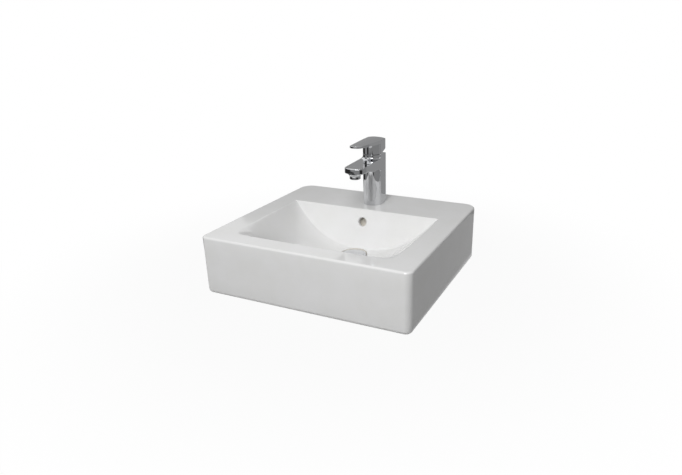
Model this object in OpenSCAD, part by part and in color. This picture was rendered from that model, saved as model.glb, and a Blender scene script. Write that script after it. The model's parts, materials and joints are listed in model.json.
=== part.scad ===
// Countertop basin in one glazed casting, with a single-lever mixer tap on its deck
// and a press-to-close waste in its bowl. Lengths are in millimetres.
// The origin is the centre of the underside, Z is up and the front of the basin faces -Y.

/* [Basin] */
// Width across the basin
basin_w = 500; // [450:10:620]
// Depth from the front face to the back face
basin_d = 460; // [440:10:520]
// Height of the deck above the worktop
basin_h = 137; // [136:1:160]
// Radius of the two front corners, seen from above
front_corner_r = 16; // [12:1:30]
// Radius of the two back corners, seen from above
back_corner_r = 32; // [18:1:45]
// Rounding of the top edge
top_edge_r = 5; // [3:0.5:8]
// Rounding of the bottom edge
foot_edge_r = 10; // [6:0.5:11]
// Thickness of the outer walls
skirt_t = 14; // [12:0.5:17]
// Thickness of the deck
deck_t = 14; // [12:0.5:18]

/* [Bowl] */
// Width of the rim at the left and right of the bowl
side_rim_w = 53; // [48:1:75]
// Width of the rim in front of the bowl
front_rim_w = 44; // [38:1:60]
// Depth of the tap deck behind the bowl
tap_deck_d = 144; // [132:1:155]
// Depth of the bowl at the drain
bowl_depth = 99; // [88:1:100]
// Lean of the bowl's back wall, in degrees
back_rake = 15; // [10:1:18]
// Thickness of the bowl's shell
shell_t = 12; // [10:0.5:13]
// Softness of the bowl's lip
lip_soft = 14; // [8:1:20]
// Distance from the bowl's back edge to the drain
drain_setback = 60; // [58:1:70]
// Rise of the floor from the drain to the back wall
floor_rise = 3.5; // [2:0.5:6]
// Rounding of the edge between the deck and the back wall
wall_edge_r = 4; // [2:0.5:6]
// Radius of the overflow hole
overflow_r = 11; // [9:0.5:12]
// Depth of the overflow hole's centre below the deck
overflow_drop = 31; // [26:1:40]
// Free width of the overflow duct
duct_w = 28; // [24:1:34]
// Free depth of the overflow duct
duct_gap = 8; // [6:0.5:10]
// Wall of the overflow duct
duct_wall = 6; // [5:0.5:8]

/* [Tap body] */
// Distance from the bowl's back edge to the tap's axis
tap_setback = 57; // [50:1:62]
// Radius of the tap hole in the deck
tap_hole_r = 17.5; // [17:0.25:18]
// Radius of the tap's column
column_r = 24; // [23.5:0.5:27]
// How far the flat flanks stand out past the column
flank_step = 0.6; // [0.4:0.1:1.5]
// Distance from the axis to the flat back
tap_back = 27; // [26:0.5:32]
// Distance from the axis forward to the flanks' front edge
flank_lead = 5; // [4:0.5:8]
// Height of the column above the deck
column_h = 128.5; // [124:0.5:160]
// Gap left between the foot of the column and the deck
base_gap = 0.4; // [0.3:0.1:1]
// Thickness of the seal, most of which sits in a groove in the foot
base_seal_t = 2; // [1.5:0.25:3]
// Distance from the tap's axis to the aerator's axis
spout_reach = 99; // [85:1:130]
// Distance from the column's top down to the spout's top
spout_drop = 10.5; // [10:0.5:11.5]
// Fall of the spout's top from the column to the tip
spout_fall = 2.5; // [1:0.5:3.5]
// Thickness of the spout at its tip
spout_tip_t = 13.5; // [12.5:0.5:16]
// Thickness of the spout at the column
spout_root_t = 24.5; // [22:0.5:30]
// Rounding where the spout's underside meets the flanks
spout_corner_r = 9; // [5:0.5:14]
// Rounding where the spout's top meets the column
spout_fillet_r = 6; // [3:0.5:8]
// Radius of the two corners at the spout's tip
tip_corner_r = 12; // [8:0.5:15]
// Radius of the spout's front between those corners
tip_front_r = 38; // [34:1:60]
// Radius of the waterway in the spout
waterway_r = 3.5; // [3:0.25:4]
// Radius of the two inlet threads
inlet_r = 4.5; // [4.25:0.05:4.75]
// Depth of the two inlet threads
inlet_len = 18; // [14:1:22]
// Radius of the mounting stud
stud_r = 4; // [3.5:0.25:4.5]
// Length of the mounting stud
stud_len = 78; // [60:1:90]

/* [Aerator] */
// Radius of the aerator's housing
aerator_r = 13; // [12.5:0.25:15]
// Height of the housing that shows under the spout
aerator_h = 8.5; // [8:0.5:14]
// Radius of the aerator's thread
aerator_thread_r = 11; // [10.5:0.25:12]
// Length of the aerator's thread
aerator_thread_len = 6; // [5:0.5:7]

/* [Lever] */
// Gap between the column's top and the lever
lever_gap = 1.2; // [1:0.1:2]
// Height of the lever from its underside to its top
lever_h = 36; // [34:0.5:40]
// Distance from the tap's axis to the centre of the rounded tip
lever_reach = 89; // [70:1:120]
// Radius of the lever's rounded tip
lever_tip_r = 15.5; // [13:0.5:20]
// Thickness of the lever at its tip
lever_tip_t = 4.5; // [4:0.5:6]
// Thickness of the lever at the hub
lever_root_t = 10.5; // [10:0.5:12]
// Rise of the lever's top from its edges to its middle
lever_crown = 2.8; // [1:0.2:3]
// Wall of the lever's hub
hub_wall = 2.5; // [2:0.25:3]
// Slope of the clearance cut under the back of the lever, in degrees
lift_clearance = 20; // [20:1:26]
// Depth of the lever's pivot below the column's top
pivot_drop = 6; // [5.5:0.25:6.5]
// Radius of the domed cap under the lever
dome_r = 20; // [19.5:0.25:20.25]

/* [Cartridge] */
// Radius of the cartridge's housing
cartridge_r = 17.4; // [17:0.1:17.8]
// Wall of the cartridge's housing
cartridge_wall = 1.7; // [1.4:0.1:1.9]
// Radius of the neck bore that guides the turning carriage
neck_bore_r = 9.85; // [9.5:0.05:10.2]
// Thickness of each ceramic disc
disc_t = 4.2; // [3.5:0.1:4.5]
// Distance from the lever's pivot down to the ball at its foot
foot_drop = 7.5; // [7:0.25:8]
// Radius of the ball at the lever's foot
foot_r = 2.9; // [2.5:0.1:3]
// Radius of the pivot pin
pivot_pin_r = 1.5; // [1.25:0.05:1.75]
// Thickness of the spindle across the carriage's slot
spindle_t = 6; // [5:0.25:6.5]
// Depth of the spindle from front to back
spindle_d = 7; // [6:0.25:7.5]

/* [Waste] */
// Radius of the hole in the bowl's floor
waste_hole_r = 23; // [22.5:0.25:24]
// Outer radius of the threaded waste
waste_r = 20.955; // [20.5:0.005:21.2]
// Wall of the threaded waste
waste_wall = 3.1; // [2.5:0.1:3.5]
// Radius of the flange
flange_r = 31.5; // [30.5:0.25:32.5]
// Thickness of the flange
flange_t = 3; // [2.5:0.1:3.5]
// Radius of the recess round the flange
recess_r = 33.5; // [33:0.25:35]
// Radius of the plug's cap
cap_r = 25; // [24.6:0.1:26]
// Height of the crown on the plug's cap
cap_crown = 2.6; // [1.5:0.1:3.5]
// Lift of the plug when it is open
plug_travel = 8; // [6:0.5:9]
// Height of the backnut
backnut_h = 6.5; // [5:0.5:7]
// Length of thread left free under the backnut
tail_free = 10; // [8:0.5:11]

/* [Hidden] */
$fn = 64;
$fs = 0.5;
slip = 0.1;
running = 0.06;
loose = 0.3;
over = 1;
skin = 0.05;

// Plan of the basin
half_w = basin_w / 2;
half_d = basin_d / 2;
bowl_half_w = half_w - side_rim_w;
bowl_front_y = front_rim_w - half_d;
bowl_back_y = half_d - tap_deck_d;
drain_y = bowl_back_y - drain_setback;
tap_y = bowl_back_y + tap_setback;
bowl_reach = drain_y - bowl_front_y;
crease_run = drain_setback - bowl_depth * tan(back_rake);

// Powers that square off the bowl's sections and fill them out
bowl_square = 2.4;
bowl_full = 0.8;
rim_lift = 0.4;
bowl_raw = sqrt(pow(bowl_depth + lip_soft, 2) - pow(lip_soft, 2));
side_steps = 18;
front_steps = 14;
rear_steps = 4;
under_reach = 20;

// Levels of the waste
recess_drop = 2.5;
seat_z = basin_h - bowl_depth - recess_drop;
boss_t = 14.5;
boss_r = recess_r + 4.5;
boss_z = seat_z - boss_t;
flange_seal_t = 1;
flange_z = seat_z + flange_seal_t + flange_t;
washer_t = 3;
backnut_z = boss_z - washer_t - backnut_h;
tail_z = backnut_z - tail_free;
waste_bore_r = waste_r - waste_wall;
slot_z = boss_z + 4;
slot_h = 6;
bar_t = 5;
bar_w = 9;
bar_z = backnut_z + 1;
pocket_r = waste_hole_r - 3;
pocket_t = 5.5;
ledge_z = flange_z - pocket_t;
barrel_r = 8;
barrel_bore_r = 6.2;
barrel_stud_r = 4;
barrel_floor_t = 2;
barrel_end_t = 1.5;
barrel_z = bar_z + bar_t;
plunger_r = 3.6;
spring_wire_r = 0.6;
spring_r = 4.9;
spring_turns = 4;
spring_sides = 6;
spring_steps = 12;
spring_z = barrel_z + barrel_floor_t;
cap_z = flange_z + loose;
cap_edge_t = 1.2;
cap_hollow_z = cap_z + 0.8;
barrel_top = cap_hollow_z - 0.5 - barrel_end_t;
collar_h = 1.6;
collar_z = barrel_top - slip - plug_travel - collar_h;
spring_gap = (collar_z - spring_z - 2 * spring_wire_r) / spring_turns;
plunger_top = cap_z + 2.2;
seal_z = ledge_z + loose;
plug_seal_t = 2;
plug_seal_r = pocket_r - 0.4;
plug_core_r = waste_bore_r - 1.6;

// Overflow duct
duct_half = duct_w / 2;
duct_outer = duct_half + duct_wall;
duct_top = overflow_drop - overflow_r - 3;
duct_step = 1.5;
duct_back = crease_run + shell_t + duct_gap + duct_wall;

// Levels of the tap above the deck
flank_x = column_r + flank_step;
spout_top = column_h - spout_drop;
spout_under = spout_top - spout_root_t;
tip_top = spout_top - spout_fall;
tip_under = tip_top - spout_tip_t;
cone_h = 5.5;
cone_r = aerator_r + 1;
cone_top_r = cone_r + 3;
tip_front_y = -spout_reach - cone_top_r - 0.5;
outlet_h = tip_under - cone_h;
pivot_h = column_h - pivot_drop;
foot_h = pivot_h - foot_drop;
spigot_r = tap_hole_r - 1;
base_seal_r = column_r - 3;
base_seal_bore_r = tap_hole_r + 0.5;
spigot_h = 4;
inlet_x = 7;
inlet_y = -8;
feed_r = 3.2;
stud_y = 9;
stud_grip = 12;
back_edge_r = 1.5;

// Clamp under the deck
clamp_gasket_t = 3;
clamp_plate_t = 2.5;
clamp_nut_h = 7;
clamp_r = 23;

// Insert inside the aerator's housing
insert_r = aerator_thread_r - 2;
insert_low = 2.5;
insert_h = aerator_h + aerator_thread_len - insert_low - 1;
insert_z = insert_low - aerator_h;
jet_r = 0.9;
jet_pitch = 2.9;

// Levels of the cartridge
chamber_r = cartridge_r + 0.8;
carrier_top = foot_h + 2.4;
carrier_h = 6.4;
carrier_z = carrier_top - carrier_h;
moving_z = carrier_z - disc_t;
fixed_z = moving_z - skin - disc_t;
base_h = 8;
base_z = fixed_z - base_h;
port_seal_t = 1.4;
chamber_z = base_z - port_seal_t;
inner_r = cartridge_r - cartridge_wall;
flange_low = carrier_top + 0.6;
flange_high = pivot_h - 0.6;
housing_top = flange_high + slip;
plate_t = 2;
neck_r = neck_bore_r + 2.2;
neck_top = column_h + 1;
carriage_top = neck_top + 1;
carrier_r = 12;
rail_x = 10.7;
rail_w = 2.9;
rail_len = 12;
port_r = 2.8;
outlet_y = 9;
channel_r = 2.2;
cavity_r = 8.5;
cavity_y = 1.5;
nut_z = housing_top + plate_t;
nut_h = 3;
hex_r = 16;
hex_h = column_h + 1;
dome_t = 2;
dome_open_r = 13.2;
slot_half = spindle_d;

// Levels of the lever
lever_low = column_h + lever_gap;
lever_top = lever_low + lever_h;
hub_top = lever_top - lever_root_t;
lever_boss_r = 8;
lever_boss_low = pivot_h + dome_r;
socket_top = lever_top - 5;
screw_r = 2.5;
screw_len = 10;
key_r = 1.4;
key_depth = 3;
screw_h = hub_top + 4.8;
plug_r = 3.35;
plug_len = 5;
lever_edge_r = 4;
crown_r = (flank_x * flank_x + lever_crown * lever_crown) / (2 * lever_crown);
crown_half = flank_x + 2.5;
crown_steps = 10;

// Depth of the bowl's surface, grown by g outside the glaze for its underside
function lip(d) = sqrt(d * d + lip_soft * lip_soft) - lip_soft;
function fill(t) = pow(1 - pow(min(1, abs(t)), bowl_square), bowl_full);
function along(y, g) = y <= drain_y ? fill((drain_y - y) / (bowl_reach + g))
    : 1 - floor_rise / bowl_raw * pow((y - drain_y) / crease_run, 2);
function across(x, g) = fill(x / (bowl_half_w + g));
function bowl_z(x, y, g) = basin_h + rim_lift
    - (1 + rim_lift / bowl_depth) * lip((bowl_raw + g) * across(x, g) * along(y, g));
function columns(g) = [for (i = [-side_steps:side_steps]) (bowl_half_w + g) * sin(90 * i / side_steps)];
function rows(g, y_end) = concat(
    [for (j = [front_steps:-1:1]) drain_y - (bowl_reach + g) * sin(90 * j / front_steps)],
    [for (j = [0:rear_steps]) drain_y + (y_end - drain_y) * j / rear_steps]);

// Solid above the bowl's surface: its floor is the surface, cut off at z_most, and its top is flat
module scoop(g, z_top, z_most, y_end) {
    xs = columns(g);
    ys = rows(g, y_end);
    nx = len(xs);
    ny = len(ys);
    floor_points = [for (y = ys) for (x = xs) [x, y, min(z_most, bowl_z(x, y, g))]];
    ring = concat([for (i = [0:nx - 2]) i], [for (j = [0:ny - 2]) j * nx + nx - 1],
        [for (i = [nx - 1:-1:1]) (ny - 1) * nx + i], [for (j = [ny - 1:-1:1]) j * nx]);
    n = len(ring);
    last = nx * ny;
    top_points = [for (k = ring) [floor_points[k].x, floor_points[k].y, z_top]];
    floor_faces = [for (j = [0:ny - 2]) for (i = [0:nx - 2]) for (k = [0, 1])
        let (a = j * nx + i) k == 0 ? [a, a + 1, a + nx + 1] : [a, a + nx + 1, a + nx]];
    side_faces = [for (i = [0:n - 1]) for (k = [0, 1]) let (j = (i + 1) % n)
        k == 0 ? [ring[j], ring[i], last + i] : [ring[j], last + i, last + j]];
    top_faces = [for (i = [0:n - 1]) [last + (i + 1) % n, last + i, last + n]];
    polyhedron(concat(floor_points, top_points, [[0, drain_y, z_top]]),
        concat(floor_faces, side_faces, top_faces));
}

// Frames and small shapes that the pieces share
module along_x(half) {
    translate([-half, 0, 0]) rotate([90, 0, 90]) linear_extrude(2 * half) children();
}
module at_drain() {
    translate([0, drain_y, 0]) children();
}
module at_tap() {
    translate([0, tap_y, basin_h]) children();
}
module on_wall() {
    translate([0, bowl_back_y, basin_h]) rotate([-back_rake, 0, 0]) children();
}
module at_screw(y) {
    at_tap() translate([0, y, screw_h]) rotate([-90, 0, 0]) children();
}
module tube(r_out, r_in, z, h) {
    translate([0, 0, z]) difference() {
        cylinder(r = r_out, h = h);
        translate([0, 0, -over]) cylinder(r = r_in, h = h + 2 * over);
    }
}
module bore(r, z, z_end) {
    translate([0, 0, z]) cylinder(r = r, h = z_end - z);
}
module block(half_x, y, y_end, z, z_end) {
    translate([-half_x, y, z]) cube([2 * half_x, y_end - y, z_end - z]);
}

// Section through an outer wall, from the middle out to its face
module edge_profile(reach) {
    intersection() {
        square([reach, basin_h]);
        union() {
            square([reach - foot_edge_r, basin_h]);
            translate([0, foot_edge_r]) square([reach, basin_h - foot_edge_r - top_edge_r]);
            translate([0, foot_edge_r]) square([reach - top_edge_r, basin_h - foot_edge_r]);
            translate([reach - foot_edge_r, foot_edge_r]) circle(foot_edge_r);
            translate([reach - top_edge_r, basin_h - top_edge_r]) circle(top_edge_r);
        }
    }
}
module corner_post(x, y, r, turn) {
    translate([x, y, 0]) rotate([0, 0, turn]) rotate_extrude(angle = 90) edge_profile(r);
}
module basin_block() {
    along_x(half_w - back_corner_r) edge_profile(half_d);
    mirror([0, 1, 0]) along_x(half_w - front_corner_r) edge_profile(half_d);
    for (s = [0, 1]) mirror([s, 0, 0]) {
        translate([0, half_d - back_corner_r, 0]) rotate([90, 0, 0])
            linear_extrude(basin_d - front_corner_r - back_corner_r) edge_profile(half_w);
        corner_post(half_w - back_corner_r, half_d - back_corner_r, back_corner_r, 0);
        corner_post(half_w - front_corner_r, front_corner_r - half_d, front_corner_r, -90);
    }
}
module under_hollow() {
    x = half_w - skirt_t;
    y = half_d - skirt_t;
    r = max(4, back_corner_r - skirt_t);
    translate([0, 0, -over]) linear_extrude(basin_h - deck_t + over) {
        translate([-x, r - y]) square([2 * x, 2 * (y - r)]);
        translate([r - x, -y]) square([2 * (x - r), 2 * y]);
        for (i = [-1, 1]) for (j = [-1, 1]) translate([i * (x - r), j * (y - r)]) circle(r);
    }
}

// Section in front of the raked back wall, moved back by the thickness that lies behind it
module wall_limit(behind, z_top) {
    lean = tan(back_rake);
    y_top = bowl_back_y + behind / cos(back_rake);
    polygon([[-basin_d, -over], [y_top - lean * (basin_h + over), -over],
        [y_top + lean * (z_top - basin_h), z_top], [-basin_d, z_top]]);
}
module wall_edge() {
    reach = wall_edge_r * tan((90 - back_rake) / 2);
    foot = [bowl_back_y - reach * sin(back_rake), basin_h - reach * cos(back_rake)];
    difference() {
        polygon([[bowl_back_y - over, basin_h + over], [bowl_back_y + reach, basin_h + over],
            [bowl_back_y + reach, basin_h - skin], [foot.x, foot.y - skin], [foot.x - over, foot.y]]);
        translate([bowl_back_y + reach, basin_h - wall_edge_r - skin]) circle(wall_edge_r);
    }
}
module bowl_hollow() {
    clear_top = basin_h + 3;
    intersection() {
        scoop(0, clear_top, clear_top - over, bowl_back_y + wall_edge_r + 8);
        along_x(half_w) {
            wall_limit(0, basin_h);
            wall_edge();
            translate([-basin_d, basin_h - over]) square([basin_d + bowl_back_y - over, 8]);
        }
    }
}
module bowl_underside() {
    intersection() {
        scoop(shell_t, basin_h - over, basin_h - 3, bowl_back_y + shell_t + under_reach);
        along_x(half_w) wall_limit(shell_t, basin_h);
    }
}
module duct_case() {
    on_wall() translate([0, 0, -basin_h]) {
        block(duct_outer, shell_t - over, shell_t + duct_gap + duct_wall, -over, basin_h);
    }
    at_drain() block(duct_outer + duct_step, 0, duct_back, boss_z, seat_z);
}
module overflow_way() {
    drop = overflow_drop / cos(back_rake);
    on_wall() translate([0, -over, -drop]) rotate([-90, 0, 0]) {
        cylinder(r = overflow_r, h = shell_t + duct_gap);
    }
    intersection() {
        on_wall() block(duct_half, shell_t, shell_t + duct_gap, -2 * basin_h, -duct_top);
        block(duct_outer, drain_y, half_d, slot_z, basin_h);
    }
    low_half = duct_half - duct_step;
    at_drain() block(low_half, waste_hole_r - duct_gap, duct_back - duct_wall - 3, slot_z, slot_z + slot_h);
}
module basin() color("white") difference() {
    union() {
        difference() {
            basin_block();
            under_hollow();
        }
        bowl_underside();
        at_drain() bore(boss_r, boss_z, seat_z);
        intersection() {
            duct_case();
            block(half_w, -half_d, half_d, boss_z, basin_h - over);
        }
    }
    bowl_hollow();
    at_drain() bore(recess_r, seat_z, basin_h);
    at_drain() bore(waste_hole_r, 0, basin_h);
    overflow_way();
    at_tap() bore(tap_hole_r, -basin_h, over);
}

// Side view of the flat-flanked part: a bar that runs up the back and turns forward as the spout
module spout_profile() {
    front = tip_front_y - over;
    mid = -spout_reach * 0.47;
    difference() {
        union() {
            translate([-flank_lead, base_gap])
                square([tap_back + flank_lead, column_h - base_gap - lever_edge_r]);
            translate([-flank_lead, spout_top]) {
                square([tap_back + flank_lead - lever_edge_r, column_h - spout_top]);
            }
            translate([tap_back - lever_edge_r, column_h - lever_edge_r]) circle(lever_edge_r);
            polygon([[front, tip_top], [-flank_lead, spout_top], [-flank_lead, spout_under],
                [mid, spout_under + 1], [flank_x - spout_reach, tip_under - 1],
                [tip_front_y, tip_under], [front, tip_under]]);
            translate([-flank_lead - spout_corner_r, spout_under - spout_corner_r])
                square([spout_corner_r + over, spout_corner_r + over]);
        }
        translate([-flank_lead - spout_corner_r, spout_under - spout_corner_r]) circle(spout_corner_r);
    }
}
module spout_plan() {
    corner_x = flank_x - tip_corner_r;
    spread = tip_front_r - tip_corner_r;
    corner_y = tip_front_y + tip_front_r - sqrt(spread * spread - corner_x * corner_x);
    touch_x = corner_x * tip_front_r / spread;
    for (s = [-1, 1]) translate([s * corner_x, corner_y]) circle(tip_corner_r);
    intersection() {
        translate([0, tip_front_y + tip_front_r]) circle(tip_front_r);
        translate([-touch_x, tip_front_y - over]) square([2 * touch_x, tip_front_r]);
    }
    translate([-flank_x, corner_y]) square([2 * flank_x, tap_back - back_edge_r - corner_y]);
    translate([-flank_x + back_edge_r, 0]) square([2 * (flank_x - back_edge_r), tap_back]);
    for (s = [-1, 1]) translate([s * (flank_x - back_edge_r), tap_back - back_edge_r]) circle(back_edge_r);
}
module spout_fillet() {
    reach = column_r + spout_fillet_r;
    rotate([0, 0, 180]) rotate_extrude(angle = 180) difference() {
        translate([column_r - over, spout_top - spout_fall]) {
            square([spout_fillet_r + over, spout_fillet_r + spout_fall]);
        }
        translate([reach, spout_top + spout_fillet_r]) circle(spout_fillet_r);
    }
}
module waterways() {
    low = base_z + base_h / 2;
    rise = tip_top - 2.5 - waterway_r - low;
    run = spout_reach - cartridge_r;
    for (s = [-1, 1]) translate([s * inlet_x, inlet_y, 0]) {
        bore(inlet_r, -spigot_h - over, inlet_len - spigot_h);
        bore(feed_r, 0, chamber_z + over);
    }
    translate([0, -cartridge_r + 2, low]) rotate([90 - atan(rise / run), 0, 0]) {
        cylinder(r = waterway_r, h = run);
    }
    translate([0, -spout_reach, 0]) {
        bore(aerator_thread_r, outlet_h - over, outlet_h + aerator_thread_len + 2);
        bore(aerator_thread_r - 3, outlet_h, low + rise + waterway_r);
    }
}
module tap_body() color("lightsteelblue") at_tap() difference() {
    union() {
        intersection() {
            bore(column_r, base_gap, column_h);
            block(column_r, -column_r, 0, 0, column_h + over);
        }
        intersection() {
            along_x(flank_x) spout_profile();
            translate([0, 0, -over]) linear_extrude(column_h + 2 * over) spout_plan();
        }
        intersection() {
            spout_fillet();
            linear_extrude(column_h) spout_plan();
        }
        translate([0, -spout_reach, outlet_h]) cylinder(r1 = cone_r, r2 = cone_top_r, h = cone_h + loose);
        bore(spigot_r, -spigot_h, base_gap + over);
    }
    bore(chamber_r, chamber_z, column_h + over);
    waterways();
    translate([0, stud_y, 0]) bore(stud_r + 0.02, -spigot_h - over, stud_grip + base_gap);
    tube(base_seal_r + slip, base_seal_bore_r - slip, base_gap - over, base_seal_t - base_gap + over);
}
module tap_base_seal() color("dimgray") at_tap() {
    tube(base_seal_r, base_seal_bore_r, 0, base_seal_t - slip);
}
module mounting_stud() color("silver") at_tap() {
    translate([0, stud_y, base_gap + stud_grip - slip - stud_len]) cylinder(r = stud_r, h = stud_len);
}

// Clamp under the deck: a horseshoe that leaves the hoses' way open at the front
module horseshoe(z, h, r, stud_clear) {
    translate([0, 0, z]) difference() {
        cylinder(r = r, h = h);
        translate([0, 0, -over]) {
            translate([3 - spigot_r, stud_y - stud_r - 3 - 2 * r, 0]) {
                cube([2 * (spigot_r - 3), 2 * r, h + 2 * over]);
            }
            translate([0, stud_y, 0]) cylinder(r = stud_r + stud_clear, h = h + 2 * over);
        }
    }
}
module clamp_gasket() color("dimgray") at_tap() {
    horseshoe(-deck_t - clamp_gasket_t, clamp_gasket_t, clamp_r, loose);
}
module clamp_plate() color("silver") at_tap() {
    horseshoe(-deck_t - clamp_gasket_t - clamp_plate_t, clamp_plate_t, clamp_r, slip);
}
module clamp_nut() color("goldenrod") at_tap() {
    translate([0, stud_y, -deck_t - clamp_gasket_t - clamp_plate_t - clamp_nut_h]) difference() {
        cylinder(r = 7.5, h = clamp_nut_h, $fn = 6);
        translate([0, 0, -over]) cylinder(r = stud_r + running, h = clamp_nut_h + 2 * over);
    }
}

// Aerator: a housing screwed into the spout, with a perforated insert and a washer above it
module at_outlet() {
    at_tap() translate([0, -spout_reach, outlet_h]) children();
}
module aerator_housing() color("lightsteelblue") at_outlet() rotate_extrude() difference() {
    union() {
        translate([0, -aerator_h + 1]) square([aerator_r, aerator_h - 1]);
        translate([0, -aerator_h]) square([aerator_r - 1, 2]);
        square([aerator_thread_r - running, aerator_thread_len]);
    }
    translate([-over, insert_low - aerator_h]) {
        square([insert_r + slip + over, aerator_h + aerator_thread_len]);
    }
    translate([-over, -aerator_h - over]) square([insert_r - 1 + over, insert_low + 2 * over]);
}
module aerator_insert() color("whitesmoke") at_outlet() difference() {
    bore(insert_r, insert_z, insert_z + insert_h);
    bore(insert_r - 1.2, insert_z + 2, insert_z + insert_h + over);
    for (ring = [1, 2]) for (k = [1:6 * ring]) rotate([0, 0, 60 * k / ring]) {
        translate([ring * jet_pitch, 0, insert_z - over]) cylinder(r = jet_r, h = 2 + 2 * over, $fn = 24);
    }
}
module aerator_washer() color("dimgray") at_outlet() {
    tube(aerator_thread_r - 0.2, insert_r - 1, aerator_thread_len, 2);
}

// Cartridge: a port base, a fixed and a moving ceramic disc, and a housing round them
module ports(r, z, z_end) {
    for (s = [-1, 1]) translate([s * inlet_x, inlet_y, 0]) bore(r, z, z_end);
    translate([0, outlet_y, 0]) bore(r, z, z_end);
}
module port_seals() color("black") at_tap() for (s = [-1, 1]) translate([s * inlet_x, inlet_y, 0]) {
    tube(port_r + 1.8, port_r + 0.2, chamber_z, port_seal_t);
}
module cartridge_base() color("gainsboro") at_tap() difference() {
    bore(cartridge_r, base_z, fixed_z);
    for (s = [-1, 1]) translate([s * inlet_x, inlet_y, 0]) bore(port_r, base_z - over, fixed_z + over);
    translate([0, outlet_y, 0]) bore(port_r, base_z + 2, fixed_z + over);
    translate([0, outlet_y, base_z + base_h / 2]) rotate([90, 0, 0]) {
        cylinder(r = channel_r, h = 2 * cartridge_r);
    }
}
module cartridge_housing() color("gainsboro") at_tap() difference() {
    union() {
        bore(cartridge_r, fixed_z, housing_top + plate_t);
        bore(neck_r, housing_top, neck_top);
    }
    bore(inner_r, fixed_z - over, housing_top);
    bore(neck_bore_r, housing_top - over, neck_top + over);
}
module fixed_disc() color("ivory") at_tap() difference() {
    bore(inner_r - slip, fixed_z, fixed_z + disc_t);
    ports(port_r, fixed_z - over, moving_z);
}
module moving_disc() color("ivory") at_tap() difference() {
    bore(carrier_r - 0.2, moving_z, moving_z + disc_t);
    translate([0, cavity_y, 0]) bore(cavity_r, moving_z - over, moving_z + 2);
}
module disc_carrier() color("royalblue") at_tap() difference() {
    intersection() {
        bore(carrier_r, carrier_z, carrier_top);
        block(rail_x - 0.3, -carrier_r, carrier_r, carrier_z, carrier_top);
    }
    bore(foot_r + loose, foot_h - foot_r - loose, carrier_top + over);
}

// Turning carriage: a flange with two rails that guide the disc, and a slotted neck for the lever
module swivel_carriage() color("royalblue") at_tap() difference() {
    union() {
        bore(inner_r - running, flange_low, flange_high);
        bore(neck_bore_r - running, flange_low, carriage_top);
        for (s = [0, 1]) mirror([s, 0, 0]) {
            translate([rail_x, -rail_len / 2, carrier_z + 1]) {
                cube([rail_w, rail_len, flange_low - carrier_z]);
            }
        }
    }
    block(spindle_t / 2 + 0.2, -slot_half, slot_half, flange_low - over, carriage_top + over);
    translate([-neck_bore_r - over, 0, pivot_h]) rotate([0, 90, 0]) {
        cylinder(r = pivot_pin_r, h = 2 * (neck_bore_r + over));
    }
}
module pivot_pin() color("silver") at_tap() translate([0, 0, pivot_h]) rotate([0, 90, 0]) {
    cylinder(r = pivot_pin_r, h = 2 * neck_bore_r - 1, center = true);
}
module cartridge_nut() color("goldenrod") at_tap() difference() {
    union() {
        bore(chamber_r - slip, nut_z, nut_z + nut_h);
        translate([0, 0, nut_z]) cylinder(r = hex_r, h = hex_h - nut_z, $fn = 6);
    }
    bore(neck_r + loose, nut_z - over, hex_h + over);
}
module dome_cap() color("lightsteelblue") at_tap() rotate_extrude() intersection() {
    difference() {
        union() {
            translate([0, pivot_h]) circle(dome_r);
            translate([0, nut_z + nut_h + slip]) square([chamber_r - slip, column_h - nut_z - nut_h]);
        }
        translate([0, pivot_h]) circle(dome_r - dome_t);
        translate([0, nut_z - over]) square([chamber_r - 1.6, column_h + skin - nut_z + over]);
        translate([chamber_r - slip, 0]) square([dome_r, column_h + skin]);
    }
    translate([dome_open_r, nut_z + nut_h + slip]) square([dome_r, 2 * dome_r]);
}

// Lever: the spindle in the cartridge, and the handle that is clamped on it by a grub screw
module lever_spindle() color("goldenrod") at_tap() difference() {
    union() {
        translate([0, 0, foot_h]) sphere(r = foot_r);
        bore(foot_r - 0.7, foot_h, pivot_h);
        block(spindle_t / 2, -spindle_d / 2, spindle_d / 2, pivot_h - foot_drop / 2, socket_top - 1);
    }
    translate([-spindle_t, 0, pivot_h]) rotate([0, 90, 0]) {
        cylinder(r = pivot_pin_r + running, h = 2 * spindle_t);
    }
}
module lever_profile() {
    front = -lever_reach - lever_tip_r - over;
    top = lever_top + over;
    translate([-flank_lead, lever_low]) square([tap_back + flank_lead, top - lever_edge_r - lever_low]);
    translate([-flank_lead, hub_top]) square([tap_back + flank_lead - lever_edge_r, top - hub_top]);
    translate([tap_back - lever_edge_r, top - lever_edge_r]) circle(lever_edge_r);
    polygon([[-flank_lead, top], [-flank_lead, hub_top], [-column_r, hub_top],
        [front, lever_top - lever_tip_t], [front, top]]);
}
module lever_section() {
    side = 2 * column_r;
    polygon(concat([[side, lever_low - over], [side, hub_top]],
        [for (i = [crown_steps:-1:-crown_steps]) let (x = crown_half * i / crown_steps)
            [x, lever_top - crown_r + sqrt(crown_r * crown_r - x * x)]],
        [[-side, hub_top], [-side, lever_low - over]]));
}
module lever_plan() {
    taper = asin((flank_x - lever_tip_r) / lever_reach);
    tip_x = lever_tip_r * cos(taper);
    tip_y = -lever_reach - lever_tip_r * sin(taper);
    hub_x = flank_x * cos(taper);
    hub_y = -flank_x * sin(taper);
    translate([0, -lever_reach]) circle(lever_tip_r);
    polygon([[-tip_x, tip_y], [tip_x, tip_y], [hub_x, hub_y], [flank_x, 0], [-flank_x, 0], [-hub_x, hub_y]]);
    translate([-flank_x, -over]) square([2 * flank_x, tap_back - lever_edge_r + over]);
    translate([-flank_x + lever_edge_r, -over]) square([2 * (flank_x - lever_edge_r), tap_back + over]);
    for (s = [-1, 1]) translate([s * (flank_x - lever_edge_r), tap_back - lever_edge_r]) circle(lever_edge_r);
}
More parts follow.
